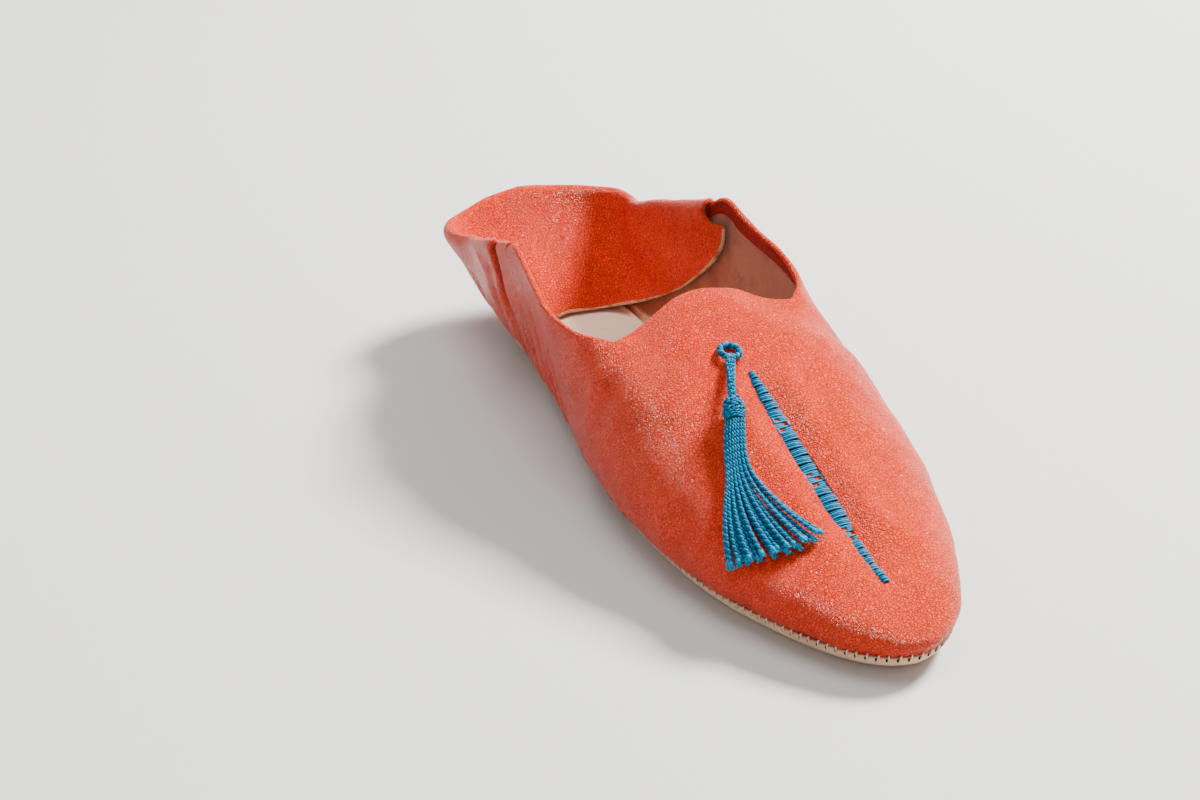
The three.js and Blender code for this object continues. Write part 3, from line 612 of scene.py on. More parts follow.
class Nodes:
    """Builds one material"""

    def __init__(self, name, **inputs):
        self.material = bpy.data.materials.new(name)
        self.material.use_nodes = True
        self.tree = self.material.node_tree
        self.shader = self.tree.nodes["Principled BSDF"]
        for key, value in inputs.items():
            self.shader.inputs[key.replace("_", " ")].default_value = value

    def node(self, kind, settings=None, **inputs):
        made = self.tree.nodes.new("ShaderNode" + kind)
        for key, value in (settings or {}).items():
            setattr(made, key, value)
        for key, value in inputs.items():
            socket = made.inputs[key.replace("_", " ")]
            if isinstance(value, bpy.types.NodeSocket):
                self.tree.links.new(value, socket)
            else:
                socket.default_value = value
        return made

    def object_coordinates(self):
        return self.node("TexCoord").outputs["Object"]

    def noise(self, scale, detail=2.0, roughness=0.5, vector=None, distortion=0.0):
        made = self.node("TexNoise", Scale=scale, Detail=detail, Roughness=roughness, Distortion=distortion)
        self.tree.links.new(vector or self.object_coordinates(), made.inputs["Vector"])
        return made.outputs["Fac"]

    def ramp(self, value, stops):
        made = self.node("ValToRGB", Fac=value)
        elements = made.color_ramp.elements
        while len(elements) < len(stops):
            elements.new(0.5)
        for element, (position, color) in zip(elements, stops):
            element.position = position
            element.color = color if isinstance(color, tuple) else (color, color, color, 1)
        return made.outputs["Color"]

    def maths(self, operation, first, second=0.0):
        made = self.tree.nodes.new("ShaderNodeMath")
        made.operation = operation
        for k, value in enumerate((first, second)):
            if isinstance(value, bpy.types.NodeSocket):
                self.tree.links.new(value, made.inputs[k])
            else:
                made.inputs[k].default_value = value
        return made.outputs[0]

    def blend(self, share, first, second, mode="MIX"):
        made = self.tree.nodes.new("ShaderNodeMix")
        made.data_type = "RGBA"
        made.blend_type = mode
        for socket, value in ((made.inputs[0], share), (made.inputs[6], first), (made.inputs[7], second)):
            if isinstance(value, bpy.types.NodeSocket):
                self.tree.links.new(value, socket)
            else:
                socket.default_value = value
        return made.outputs[2]

    def bump(self, height, distance, strength=1.0, before=None):
        made = self.node("Bump", Strength=strength, Distance=distance, Height=height)
        if before is not None:
            self.tree.links.new(before, made.inputs["Normal"])
        return made.outputs["Normal"]

    def finish(self, **links):
        for key, value in links.items():
            self.tree.links.new(value, self.shader.inputs[key.replace("_", " ")])
        return self.material


def grained_leather(name, light, middle, deep, grain, roughness):
    """Pebbled leather: cells of about a millimetre, fine pores and a slow change of colour, with painted shade in
    the hollows between the pebbles and from the per-point shade attribute
    """
    made = Nodes(name, Specular_IOR_Level=0.22)
    place = made.object_coordinates()
    warp = made.node("TexNoise", Scale=260.0, Detail=2.0, Vector=place).outputs["Color"]
    warped = made.node("MixRGB", {"blend_type": "LINEAR_LIGHT"}, Fac=0.0011, Color1=place, Color2=warp)
    cells = made.node("TexVoronoi", {"feature": "DISTANCE_TO_EDGE"}, Scale=grain)
    made.tree.links.new(warped.outputs["Color"], cells.inputs["Vector"])
    pebble = made.ramp(cells.outputs["Distance"], [(0.0, 0.0), (0.16, 0.55), (0.45, 1.0)])
    small_cells = made.node("TexVoronoi", {"feature": "DISTANCE_TO_EDGE"}, Scale=grain * 2.1)
    made.tree.links.new(warped.outputs["Color"], small_cells.inputs["Vector"])
    small_pebble = made.ramp(small_cells.outputs["Distance"], [(0.0, 0.0), (0.3, 1.0)])
    patches = made.ramp(made.noise(45.0, 3.0), [(0.35, 0.25), (0.65, 1.0)])
    grain_height = made.maths("MULTIPLY", made.maths("MULTIPLY", pebble, patches), 0.75)
    fine_height = made.maths("MULTIPLY", small_pebble, 0.3)
    height = made.maths("ADD", grain_height, fine_height)
    height = made.maths("ADD", height, made.maths("MULTIPLY", made.noise(2600.0, 3.0), 0.08))
    soft = made.bump(made.noise(95.0, 3.0, 0.55), 0.0012, 0.55)
    normal = made.bump(height, 0.0008, 0.95, before=soft)
    slow = made.noise(22.0, 3.0, 0.6)
    color = made.ramp(slow, [(0.3, middle), (0.7, light)])
    # Painted shade: the colour darkens in the hollows between the pebbles
    painted_valley_shade = made.ramp(cells.outputs["Distance"], [(0.0, 0.4), (0.17, 1.0)])
    color = made.blend(0.9, color, painted_valley_shade, "MULTIPLY")
    # Painted shade: the colour is drawn towards the deep colour by the per-point shade attribute
    painted_shade = made.node("Attribute", {"attribute_name": "painted_shade"}).outputs["Fac"]
    color = made.blend(painted_shade, color, deep)
    shine = made.ramp(made.noise(60.0, 4.0), [(0.3, roughness - 0.07), (0.7, roughness + 0.09)])
    return made.finish(Base_Color=color, Roughness=shine, Normal=normal)


def soft_hide(name, light, dark, scale, fibre, depth, roughness=0.85, sheen=0.0):
    """Plain or suede leather: mottled, with fine fibre, and painted shade towards the dark colour from the
    per-point shade attribute
    """
    made = Nodes(name, Specular_IOR_Level=0.25, Sheen_Weight=sheen, Sheen_Roughness=0.5)
    slow = made.noise(scale, 5.0, 0.62)
    color = made.ramp(slow, [(0.3, dark), (0.52, light), (0.8, light)])
    specks = made.ramp(made.noise(scale * 14, 2.0), [(0.28, 0.72), (0.4, 1.0)])
    color = made.blend(0.5, color, specks, "MULTIPLY")
    # Painted shade: the colour is drawn towards the dark colour by the per-point shade attribute
    painted_shade = made.node("Attribute", {"attribute_name": "painted_shade"}).outputs["Fac"]
    color = made.blend(painted_shade, color, dark)
    lumps = made.maths("MULTIPLY", made.noise(fibre / 9, 3.0), 1.2)
    height = made.maths("ADD", made.noise(fibre, 5.0, 0.7), lumps)
    normal = made.bump(height, depth, 0.6)
    rough = made.ramp(made.noise(scale * 3, 3.0), [(0.3, roughness - 0.08), (0.7, roughness + 0.06)])
    return made.finish(Base_Color=color, Roughness=rough, Normal=normal)


def twisted_thread(name, light, dark, scale):
    """Silk or waxed thread: fine fibres and a satin shine"""
    made = Nodes(name, Specular_IOR_Level=0.12)
    fibres = made.noise(scale, 3.0, 0.6)
    color = made.ramp(fibres, [(0.32, dark), (0.68, light)])
    rough = made.ramp(fibres, [(0.2, 0.4), (0.8, 0.26)])
    normal = made.bump(fibres, 0.00012, 0.6)
    return made.finish(Base_Color=color, Roughness=rough, Normal=normal)


def plain(name, color, roughness):
    made = Nodes(name, Specular_IOR_Level=0.2)
    spots = made.noise(900.0, 3.0)
    shade = made.ramp(spots, [(0.2, 0.7), (0.8, 1.0)])
    made.finish(Base_Color=made.blend(1.0, color, shade, "MULTIPLY"))
    made.shader.inputs["Roughness"].default_value = roughness
    return made.material


leather_material = grained_leather("goatskin", ORANGE_LIGHT, ORANGE, ORANGE_PAINTED_SHADE, 1000.0, 0.3)
# The turned-in hem is the same goatskin drawn in a darker red: painted shade
hem_painted_shade_material = grained_leather("goatskin_hem_painted_shade", HEM_PAINTED_SHADE_RED, HEM_PAINTED_SHADE_RED, ORANGE_PAINTED_SHADE, 1300.0, 0.45)
suede_material = soft_hide("suede", SUEDE, SUEDE_DARK, 90.0, 2600.0, 0.0003, 0.92, 0.35)
raw_edge_material = soft_hide("raw_edge", RAW_EDGE, SUEDE_DARK, 260.0, 3000.0, 0.0004, 0.9)
sole_material = soft_hide("sole_leather", SOLE_TAN, SOLE_TAN_DARK, 38.0, 1500.0, 0.00018, 0.68)
insole_material = soft_hide("insole_leather", INSOLE_CREAM, INSOLE_CREAM_DARK, 30.0, 1800.0, 0.00014, 0.72)
# Lit and shaded copies of the silk: the first is lit, with a painted highlight colour; the second is darker, as
# painted shade
silk_material = twisted_thread("silk", TEAL_PAINTED_HIGHLIGHT, TEAL, 3200.0)
silk_painted_shade_material = twisted_thread("silk_painted_shade", TEAL, TEAL_PAINTED_SHADE, 3200.0)
# A near-black sheet under the threads: painted shade between them
silk_gap_shade_material = plain("silk_shade", TEAL_GAP_SHADE, 0.8)
thread_material = twisted_thread("waxed_thread", THREAD_PALE, SOLE_TAN_DARK, 3800.0)
# Needle holes as flat near-black discs: painted shade inside each hole
hole_shade_material = plain("needle_hole", HOLE_SHADE, 0.95)


# Upper: one wall of leather, from the vamp round the wings and over the rim into the folded-in heel

dip_along = float(outline(DIP_AT)[1])
dip_foot = float(seam_height(dip_along)) + GAP
dip_share = (DIP_HEIGHT - dip_foot) / (float(ridge_height(ridge_along(dip_along))) - dip_foot)
DIP_UP = 2 / math.pi * math.asin(dip_share ** (1 / float(curve(ROUNDNESS, "power", DIP_AT))))


def side_shares():
    """Heights of the side rows, as shares of the height of the top edge"""
    ups = DIP_UP * (np.arange(SIDE_ROWS + 1) / SIDE_ROWS) ** ROW_SPREAD
    return (skin(np.full(SIDE_ROWS + 1, DIP_AT), ups)[2] - dip_foot) / (DIP_HEIGHT - dip_foot)


def vamp_grid():
    rows = SIDE_ROWS + CROWN_ROWS
    j = np.arange(rows + 1)[None, :]
    crown = np.maximum(j - SIDE_ROWS, 0) / CROWN_ROWS
    throat_at = mix(DIP_AT, TONGUE_AT, mix(crown, ease(0, 1, crown), 0.6))
    at = throat_at * np.arange(VAMP_COLUMNS + 1)[:, None] / VAMP_COLUMNS
    half, edge_along, _, _ = outline(at)
    power = curve(ROUNDNESS, "power", at)
    crown_half = np.maximum(half * math.cos(DIP_UP * math.pi / 2) ** power, 1e-6)
    slit = np.clip(slit_half_width(ridge_along(edge_along)) / crown_half, 0, 0.9)
    left = slit + (1 - crown) * (1 - slit)
    side_up = DIP_UP * (np.minimum(j, SIDE_ROWS) / SIDE_ROWS) ** ROW_SPREAD
    up = np.where(j <= SIDE_ROWS, side_up, mix(1, DIP_UP, left ** (1 / power)))
    x, along, z = skin(at, up)
    return at, x, along, z


def wall_grid(at):
    low = seam_height(outline(at)[1]) + GAP
    shares = side_shares()
    at_grid = np.repeat(at[:, None], SIDE_ROWS + 1, axis=1)
    level = mix(low[:, None], topline_height(at)[:, None], shares[None, :])
    x, along, z = skin(at_grid, level=level)
    return at_grid, x, along, z


def flap_edge(share):
    rest = SOLE_THICKNESS + INSOLE_THICKNESS + WALL + 3 * GAP
    along = SOLE_LENGTH * curve(FLAP_EDGE, "along", share)
    z = mix(rest, WING_HEIGHT, curve(FLAP_EDGE, "rise", share))
    inside = skin(outline_share(along), level=z)[0] - 2 * FOLD_RADIUS
    return np.stack([inside * curve(FLAP_EDGE, "spread", share), along, z], -1)


def folded_grid(at):
    """Over the rim, then down the folded-in flap"""
    _, _, out_x, out_along = outline(at)
    rim = np.stack(skin(at, level=topline_height(at)), -1)
    lean = flare_at(at) / WING_HEIGHT
    length = np.hypot(1, lean)
    outward = np.stack([out_x, out_along, -lean], -1) / length[:, None]
    upward = np.stack([out_x * lean, out_along * lean, np.ones_like(lean)], -1) / length[:, None]
    centre = rim - FOLD_RADIUS * outward
    turn = np.pi * np.arange(FOLD_ROWS + 1) / FOLD_ROWS
    fold = (
        centre[:, None]
        + FOLD_RADIUS * np.cos(turn)[None, :, None] * outward[:, None]
        + FOLD_CREST * np.sin(turn)[None, :, None] * upward[:, None]
    )
    start = fold[:, -1]
    end = flap_edge((at - FOLD_AT) / (1 - FOLD_AT))
    bend = start - FLAP_BEND * np.linalg.norm(end - start, axis=-1)[:, None] * upward
    s = (np.arange(1, FLAP_ROWS + 1) / FLAP_ROWS)[None, :, None]
    flap = (1 - s) ** 2 * start[:, None] + 2 * s * (1 - s) * bend[:, None] + s**2 * end[:, None]
    points = np.concatenate([fold, flap], axis=1)
    points[at >= 1, :, 0] = 0
    return points[..., 0], points[..., 1], points[..., 2]


def build_upper_sheet():
    sheet = Sheet()
    rows = SIDE_ROWS + CROWN_ROWS
    wing_at = mix(DIP_AT, FOLD_AT, 1 - (1 - np.arange(WING_COLUMNS + 1) / WING_COLUMNS) ** WING_CROWDING)
    back_at = mix(FOLD_AT, 1, (np.arange(BACK_COLUMNS + 1) / BACK_COLUMNS) ** BACK_CROWDING)
    back_at[-1] = 1
    for side in (1, -1):
        at, x, along, z = vamp_grid()
        edge = np.zeros((VAMP_COLUMNS + 1, rows + 1))
        edge[:, rows] = EDGE_SLIT
        edge[-1, SIDE_ROWS:] = EDGE_TOP
        edge[:, 0] = EDGE_FOOT
        foot = seam_height(outline(at)[1]) + GAP
        # Distance to the throat, for the turned-in hem
        hem = (at[-1:, :] - at) * SOLE_LENGTH * HEM_STRETCH
        hem[:, :SIDE_ROWS] = FAR
        sheet.grid(placed(side * x, along, z), side < 0, at=at, height=z - foot, edge=edge, zone=ZONE_VAMP, hem=hem)
        for zone, zone_at in ((ZONE_WING, wing_at), (ZONE_BACK, back_at)):
            at, x, along, z = wall_grid(zone_at)
            foot = seam_height(outline(at)[1]) + GAP
            edge = np.zeros(at.shape)
            edge[:, 0] = EDGE_FOOT
            hem = np.full(at.shape, FAR)
            if zone == ZONE_WING:
                edge[:, -1] = EDGE_TOP
                hem = z[:, -1:] - z
            spots = placed(side * x, along, z)
            sheet.grid(spots, side < 0, at=at, height=z - foot, edge=edge, zone=zone, hem=hem)
        x, along, z = folded_grid(back_at)
        if side < 0:
            # The left wing hides the front corner of the flap
            down = np.clip((np.arange(x.shape[1]) - FOLD_ROWS) / FLAP_ROWS, 0, 1) ** 0.5
            along = along + FLAP_TUCK * np.exp((FOLD_AT - back_at) / FLAP_TUCK_FADE)[:, None] * down
        edge = np.zeros(x.shape)
        edge[0, 1:] = EDGE_RAW
        edge[:, -1] = EDGE_RAW
        at = np.repeat(back_at[:, None], x.shape[1], axis=1)
        sheet.grid(placed(side * x, along, z), side < 0, at=at, height=FAR, edge=edge, zone=ZONE_FLAP, hem=FAR)
    return sheet.join()


def surface_point(side, at, up):
    """A point of the outer face; up is a share of the way to the vamp's ridge or the wall's top edge"""
    at = np.asarray(at, float)
    low = seam_height(outline(at)[1]) + GAP
    on_wall = at > DIP_AT
    level = mix(low, topline_height(np.maximum(at, DIP_AT)), up)
    wall = np.stack(skin(at, level=level), -1)
    vamp = np.stack(skin(np.minimum(at, DIP_AT), up), -1)
    spot = np.where(on_wall[..., None], wall, vamp)
    return placed(side * spot[..., 0], spot[..., 1], spot[..., 2])


def distance_to_line(points, line):
    best = np.full(len(points), np.inf)
    share = np.zeros(len(points))
    for k in range(len(line) - 1):
        step = line[k + 1] - line[k]
        s = np.clip((points - line[k]) @ step / (step @ step), 0, 1)
        distance = np.linalg.norm(points - line[k] - s[:, None] * step, axis=1)
        nearer = distance < best
        best = np.where(nearer, distance, best)
        share = np.where(nearer, (k + s) / (len(line) - 1), share)
    return best, share


def crease_relief(points):
    relief = np.zeros(len(points))
    for side, start, end, width, depth in CREASES:
        s = np.linspace(0, 1, 6)
        at = mix(start[0], end[0], s)
        up = mix(start[1], end[1], s)
        line = surface_point(side, at, up)
        distance, share = distance_to_line(points, line)
        fade = np.sqrt(np.clip(4 * share * (1 - share), 0, 1))
        trough = np.exp(-((distance / width) ** 2))
        ridges = np.exp(-(((distance - 1.9 * width) / width) ** 2))
        relief += depth * fade * (0.4 * ridges - trough)
    return relief


def soft_unevenness(points):
    """Slow waves in the soft leather, the same on each run"""
    total = np.zeros(len(points))
    waves = [
        ((0.11, 0.05, 0.13), 0.3, 0.12), ((-0.07, 0.12, 0.09), 1.7, 0.12), ((0.19, -0.1, 0.06), 2.9, 0.08),
        ((0.05, 0.21, -0.16), 4.1, 0.07), ((-0.23, 0.14, 0.2), 5.3, 0.05), ((0.31, 0.24, -0.1), 0.9, 0.04),
    ]
    for direction, phase, height in waves:
        total += height * np.sin(points @ np.array(direction) * 1.9 + phase)
    return total


def arc_length_round(at):
    """Distance round the sole's outline from the toe tip"""
    spots = np.linspace(0, 1, 801)
    half, along, _, _ = outline(spots)
    steps = np.concatenate([[0], np.cumsum(np.hypot(np.diff(half), np.diff(along)))])
    return np.interp(at, spots, steps), steps[-1]


SIDE_LENGTH = arc_length_round(1.0)[1]
STITCHES = int(round(2 * SIDE_LENGTH / STITCH_PITCH))

sheet = build_upper_sheet()
notes = sheet.notes
base_points = sheet.points
base_normals = normals_of(base_points, sheet.quads)
outer_wall = notes["zone"] < ZONE_FLAP
relief = soft_unevenness(base_points)
relief += np.where(outer_wall, crease_relief(base_points), 0)

# Short wrinkles that the embroidery draws in beside the slit
slit_distance = np.abs(base_points[:, 0] - MIDDLE_X)
slit_along = base_points[:, 1] - TOE_Y
beside = ease(*WRINKLE_IN, slit_distance) * (1 - ease(*WRINKLE_OUT, slit_distance))
beside *= ease(*WRINKLE_TOE, slit_along)
beside *= 1 - ease(*WRINKLE_THROAT, slit_along)
slant = slit_along + slit_distance * np.where(base_points[:, 0] > MIDDLE_X, -0.7, 0.55)
strength = 0.5 + 0.5 * np.sin(slit_along * 0.19 + 1.1) * np.sin(slit_distance * 0.33 + 0.4)
wrinkles = np.sin(slant * 1.75) + 0.6 * np.sin(slant * 2.6 + slit_distance * 0.5)
relief += np.where(notes["zone"] == ZONE_VAMP, WRINKLE_DEPTH * wrinkles * beside * strength, 0)

# The stitches pull the foot of the upper in and the leather puffs between them
distance_round = arc_length_round(notes["at"])[0]
pull = np.cos(2 * np.pi * distance_round * STITCHES / (2 * SIDE_LENGTH))
near_foot = np.where(outer_wall, np.exp(-np.maximum(notes["height"], 0) / PULL_HEIGHT), 0)
relief -= PULL_DEPTH * near_foot * (1 + pull) / 2

# The back tucks in behind each wing's rear edge
on_left = base_points[:, 0] < MIDDLE_X
groove_at = np.where(on_left, GROOVE_LEFT_AT, GROOVE_RIGHT_AT)
top_here = topline_height(np.maximum(notes["at"], DIP_AT))
below_top = top_here - base_points[:, 2]
groove_lean = np.where(on_left, GROOVE_LEFT_LEAN, 0) * below_top
groove_line = (notes["at"] - groove_at) * SOLE_LENGTH * GROOVE_STRETCH - groove_lean
groove = np.exp(-((groove_line / GROOVE_WIDTH) ** 2)) * (1 - ease(*GROOVE_FADE, below_top))
on_wall = (notes["zone"] == ZONE_BACK) | (notes["zone"] == ZONE_WING)
groove = np.where(on_wall, groove, groove * (below_top < GROOVE_OVER_RIM) * on_left)
groove_push = np.where(on_left, GROOVE_LEFT_DEPTH, GROOVE_RIGHT_DEPTH) * groove
relief -= groove_push

# Soft folds down the inner side of the folded-in heel
on_flap = notes["zone"] == ZONE_FLAP
flap_waves = np.sin((base_points[:, 0] * 0.16 + base_points[:, 1] * 0.05) * 1.6 + 0.6)
flap_waves += 0.6 * np.sin((base_points[:, 0] * 0.3 - base_points[:, 2] * 0.12) * 1.5 + 2.0)
flap_fade = ease(0, 12, (RIM_SIDE_HEIGHT + 4) - base_points[:, 2])
relief += np.where(on_flap, 0.3 * flap_waves * flap_fade, 0)

on_foot = notes["edge"] == EDGE_FOOT
foot_fade = 1 - 0.9 * on_foot
outer_points = base_points + base_normals * (relief * foot_fade)[:, None]
thickness = np.where(notes["hem"] < HEM_WIDTH, WALL + HEM_EXTRA, WALL - LINED_THINNING)
inner_points = base_points - base_normals * (thickness + groove_push)[:, None]
inner_points[on_foot, 2] = base_points[on_foot, 2]

# Rims between the outer and the inner face
border = border_of(sheet.quads)
edge_out = np.zeros_like(base_points)
edge_direction = outer_points[border[:, 1]] - outer_points[border[:, 0]]
edge_normals = base_normals[border[:, 0]] + base_normals[border[:, 1]]
side_direction = unit(np.cross(edge_direction, edge_normals))
for k in (0, 1):
    np.add.at(edge_out, border[:, k], side_direction)
edge_out = unit(edge_out)
rim_ids = np.unique(border)
rim_index = np.full(len(base_points), -1)
rim_index[rim_ids] = np.arange(len(rim_ids))
roundness = np.choose(notes["edge"][rim_ids].astype(int), EDGE_BULGE)
half_thickness = np.linalg.norm(outer_points[rim_ids] - inner_points[rim_ids], axis=1) / 2
middle_points = (outer_points[rim_ids] + inner_points[rim_ids]) / 2
count = len(base_points)
all_points = [outer_points, inner_points]
rim_rows = [rim_ids]
for k in range(1, RIM_ROWS):
    angle = math.pi * k / RIM_ROWS
    row = middle_points + (outer_points[rim_ids] - middle_points) * math.cos(angle)
    row = row + edge_out[rim_ids] * (roundness * half_thickness * math.sin(angle))[:, None]
    all_points.append(row)
    rim_rows.append(2 * count + (k - 1) * len(rim_ids) + np.arange(len(rim_ids)))
rim_rows.append(rim_ids + count)
rim_quads = []
for k in range(RIM_ROWS):
    low, high = rim_rows[k], rim_rows[k + 1]
    a, b = rim_index[border[:, 0]], rim_index[border[:, 1]]
    rim_quads.append(np.stack([low[a], high[a], high[b], low[b]], -1))
rim_quads = np.concatenate(rim_quads)
raw_border = (notes["edge"][border] == EDGE_RAW).all(axis=1)
border_at = notes["at"][border[:, 0]]
border_left = base_points[border[:, 0], 0] < MIDDLE_X
raw_border &= border_at > FOLD_AT + np.where(border_left, RAW_FROM_LEFT, RAW_FROM_RIGHT)
rim_materials = np.tile(np.where(raw_border, 2, 0), RIM_ROWS)

# The hem strip on the inner face takes the darker red goatskin: painted shade
in_hem = notes["hem"][sheet.quads].max(axis=1) < HEM_FACE_WIDTH
hem_quads = sheet.quads[in_hem][:, ::-1] + count
lining_quads = sheet.quads[~in_hem][:, ::-1] + count
points = np.concatenate(all_points)
painted_shades = np.zeros(len(points))
# Painted shade: the colour darkens near the foot of the upper, in the hollows of the relief and along the grooves
# behind the ears
painted_shades[:count] = np.clip(0.5 * near_foot + 0.28 * np.clip(-relief, 0, 1.2) + groove, 0, 0.95)
leather_quads = np.concatenate([sheet.quads, hem_quads, rim_quads])
leather_faces = np.concatenate([np.zeros(len(sheet.quads)), np.ones(len(hem_quads)), rim_materials])
upper = make_object(
    "upper_leather", points, leather_quads, [leather_material, hem_painted_shade_material, raw_edge_material],
    leather_faces, painted_shades, slot="upper_leather",
)
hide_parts("upper")
make_object("upper_lining", points, lining_quads, [suede_material], slot="suede_lining")


# Sole and insole

def floor_height(along):
    share = along / SOLE_LENGTH
    spring = TOE_SPRING * np.maximum(1 - share / SPRING_END, 0) ** 2
    in_arch = np.clip((share - ARCH[0]) / (ARCH[1] - ARCH[0]), 0, 1)
    return spring + ARCH_RISE * np.sin(np.pi * in_arch) ** 2


def layer_sheet(lift, first_row):
    layer = Sheet()
    row = np.arange(first_row, TURN_ROWS + FLOOR_ROWS + 1)[None, :]
    at = np.arange(SOLE_COLUMNS + 1)[:, None] / SOLE_COLUMNS + 0 * row
    half, edge_along, _, _ = seam_line(at)
    rim_along = outline(at)[1]
    middle = ridge_along(rim_along)
    reach = np.hypot(half, middle - edge_along)
    height = seam_height(rim_along) - floor_height(rim_along)
    angle = math.pi / 2 * np.minimum(row, TURN_ROWS) / TURN_ROWS
    in_x = height * np.cos(angle)
    in_z = EDGE_TURN * np.sin(angle)
    turned = EDGE_TURN * (1 - np.cos(angle)) + lift * in_x / np.hypot(in_x, in_z)
    inset = mix(turned / reach, 1, np.maximum(row - TURN_ROWS, 0) / FLOOR_ROWS)
    along = mix(edge_along, middle, inset)
    curl = height * (1 - np.sin(angle)) + lift * in_z / np.hypot(in_x, in_z)
    for side in (1, -1):
        x = side * half * (1 - inset)
        points = np.stack([x + MIDDLE_X, along + TOE_Y, floor_height(along) + curl], -1)
        layer.grid(points, side > 0, row=row)
    return layer


def build_layer(name, low_lift, high_lift, first_row, material, slot, replaced):
    low = layer_sheet(low_lift, first_row)
    high = layer_sheet(high_lift, first_row)
    high_points = np.concatenate(high.points)
    _, first = np.unique(np.round(np.concatenate(low.points) * 500), axis=0, return_index=True)
    low.join()
    upper_points = high_points[first]
    count = len(low.points)
    border = border_of(low.quads)
    strip = np.stack([border[:, 0], border[:, 0] + count, border[:, 1] + count, border[:, 1]], -1)
    faces = np.concatenate([low.quads, low.quads[:, ::-1] + count, strip])
    # Painted shade on the outer edge rows, where the sole and the insole meet the upper
    painted_shades = np.concatenate([np.where(low.notes["row"] <= first_row + 1, 0.35, 0.0)] * 2)
    points = np.concatenate([low.points, upper_points])
    piece = make_object(name, points, faces, [material], painted_shades=painted_shades, slot=slot)
    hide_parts(replaced)
    return piece


build_layer("sole_leather", 0, SOLE_THICKNESS, 0, sole_material, "sole_leather", "sole")
INSOLE_LIFT = SOLE_THICKNESS + GAP
build_layer(
    "insole_leather", INSOLE_LIFT, INSOLE_LIFT + INSOLE_THICKNESS, TURN_ROWS // 2,
    insole_material, "insole_leather", "insole",
)


# Whip stitches round the seam, each out of a needle hole

def build_stitches():
    thread = Bundle()
    holes = Bundle()
    spots = np.linspace(0, 1, 801)
    lengths = arc_length_round(spots)[0]
    for k in range(STITCHES):
        distance = k * 2 * SIDE_LENGTH / STITCHES
        side = 1 if distance <= SIDE_LENGTH else -1
        distance = distance if side > 0 else 2 * SIDE_LENGTH - distance
        at = float(np.interp(distance, lengths, spots))
        half, along, out_x, out_along = (float(v) for v in seam_line(at))
        out = np.array([side * out_x, out_along, 0.0])
        tangent = np.array([-out[1], out[0], 0.0])
        seam = float(seam_height(outline(at)[1]))
        corner = np.array([side * half + MIDDLE_X, along + TOE_Y, seam])
        x, skin_along, z = (float(v) for v in skin(at, level=seam + GAP + STITCH_RISE))
        top = placed(np.array(side * x), np.array(skin_along), np.array(z))
        drop_angle = math.asin(min(STITCH_DROP / seam, 1))
        inset = EDGE_TURN * (1 - math.cos(drop_angle))
        hole = corner - out * inset + np.array([0, 0, -STITCH_DROP])
        wobble = 0.25 * math.sin(k * 2.4)
        slant = tangent * (STITCH_SLANT + wobble)
        path = np.array([
            top - out * 0.45 + slant,
            top + out * 0.12 + slant * 0.95 + [0, 0, 0.05],
            top * 0.5 + (corner + out * 0.1) * 0.5 + out * 0.28 + slant * 0.6,
            corner + out * 0.34 + slant * 0.25 + [0, 0, -0.4],
            hole + out * 0.3 + [0, 0, 0.35],
            hole - out * 0.35 - [0, 0, 0.1],
        ])
        smooth_path = resampled(path, 12)[0]
        thread.tube(smooth_path, STITCH_RADIUS, sides=6, start_up=tangent)
        # Each needle hole is a flat dark disc: painted shade
        angle = np.linspace(0, 2 * np.pi, 10, endpoint=False)
        turn = math.asin(min(HOLE_DROP / seam, 1))
        hole_inset = EDGE_TURN * (1 - math.cos(turn)) - 0.06
        hole_centre = corner - out * hole_inset + np.array([0, 0, -HOLE_DROP]) - tangent * 0.42
        tilt = unit(np.array([0.0, 0.0, 1.0]) + out * math.tan(turn)) * 0.62
        rim = hole_centre + np.outer(np.cos(angle), tangent * 0.42) + np.outer(np.sin(angle), tilt)
        holes.add(rim, [list(range(10))])
    made = thread.finish("seam_stitches", [thread_material], "sewing_thread")
    holes.finish("seam_needle_holes", [hole_shade_material], "sole_leather")
    return made


build_stitches()


# Embroidery over the slit

def middle_line():
    """The slipper's middle line from the toe seam to the tongue, with each point's place along the sole"""
    toe_up = np.linspace(0.02, 1, 60)
    toe = np.stack(skin(np.zeros(60), toe_up), -1)
    ridge_spots = np.linspace(TOE_REACH, 0.45 * SOLE_LENGTH, 240)[1:]
    ridge = np.stack([0 * ridge_spots, ridge_spots, ridge_height(ridge_spots)], -1)
    shoe = np.concatenate([toe, ridge])
    line = placed(shoe[:, 0], shoe[:, 1], shoe[:, 2])
    return shoe[:, 1], line


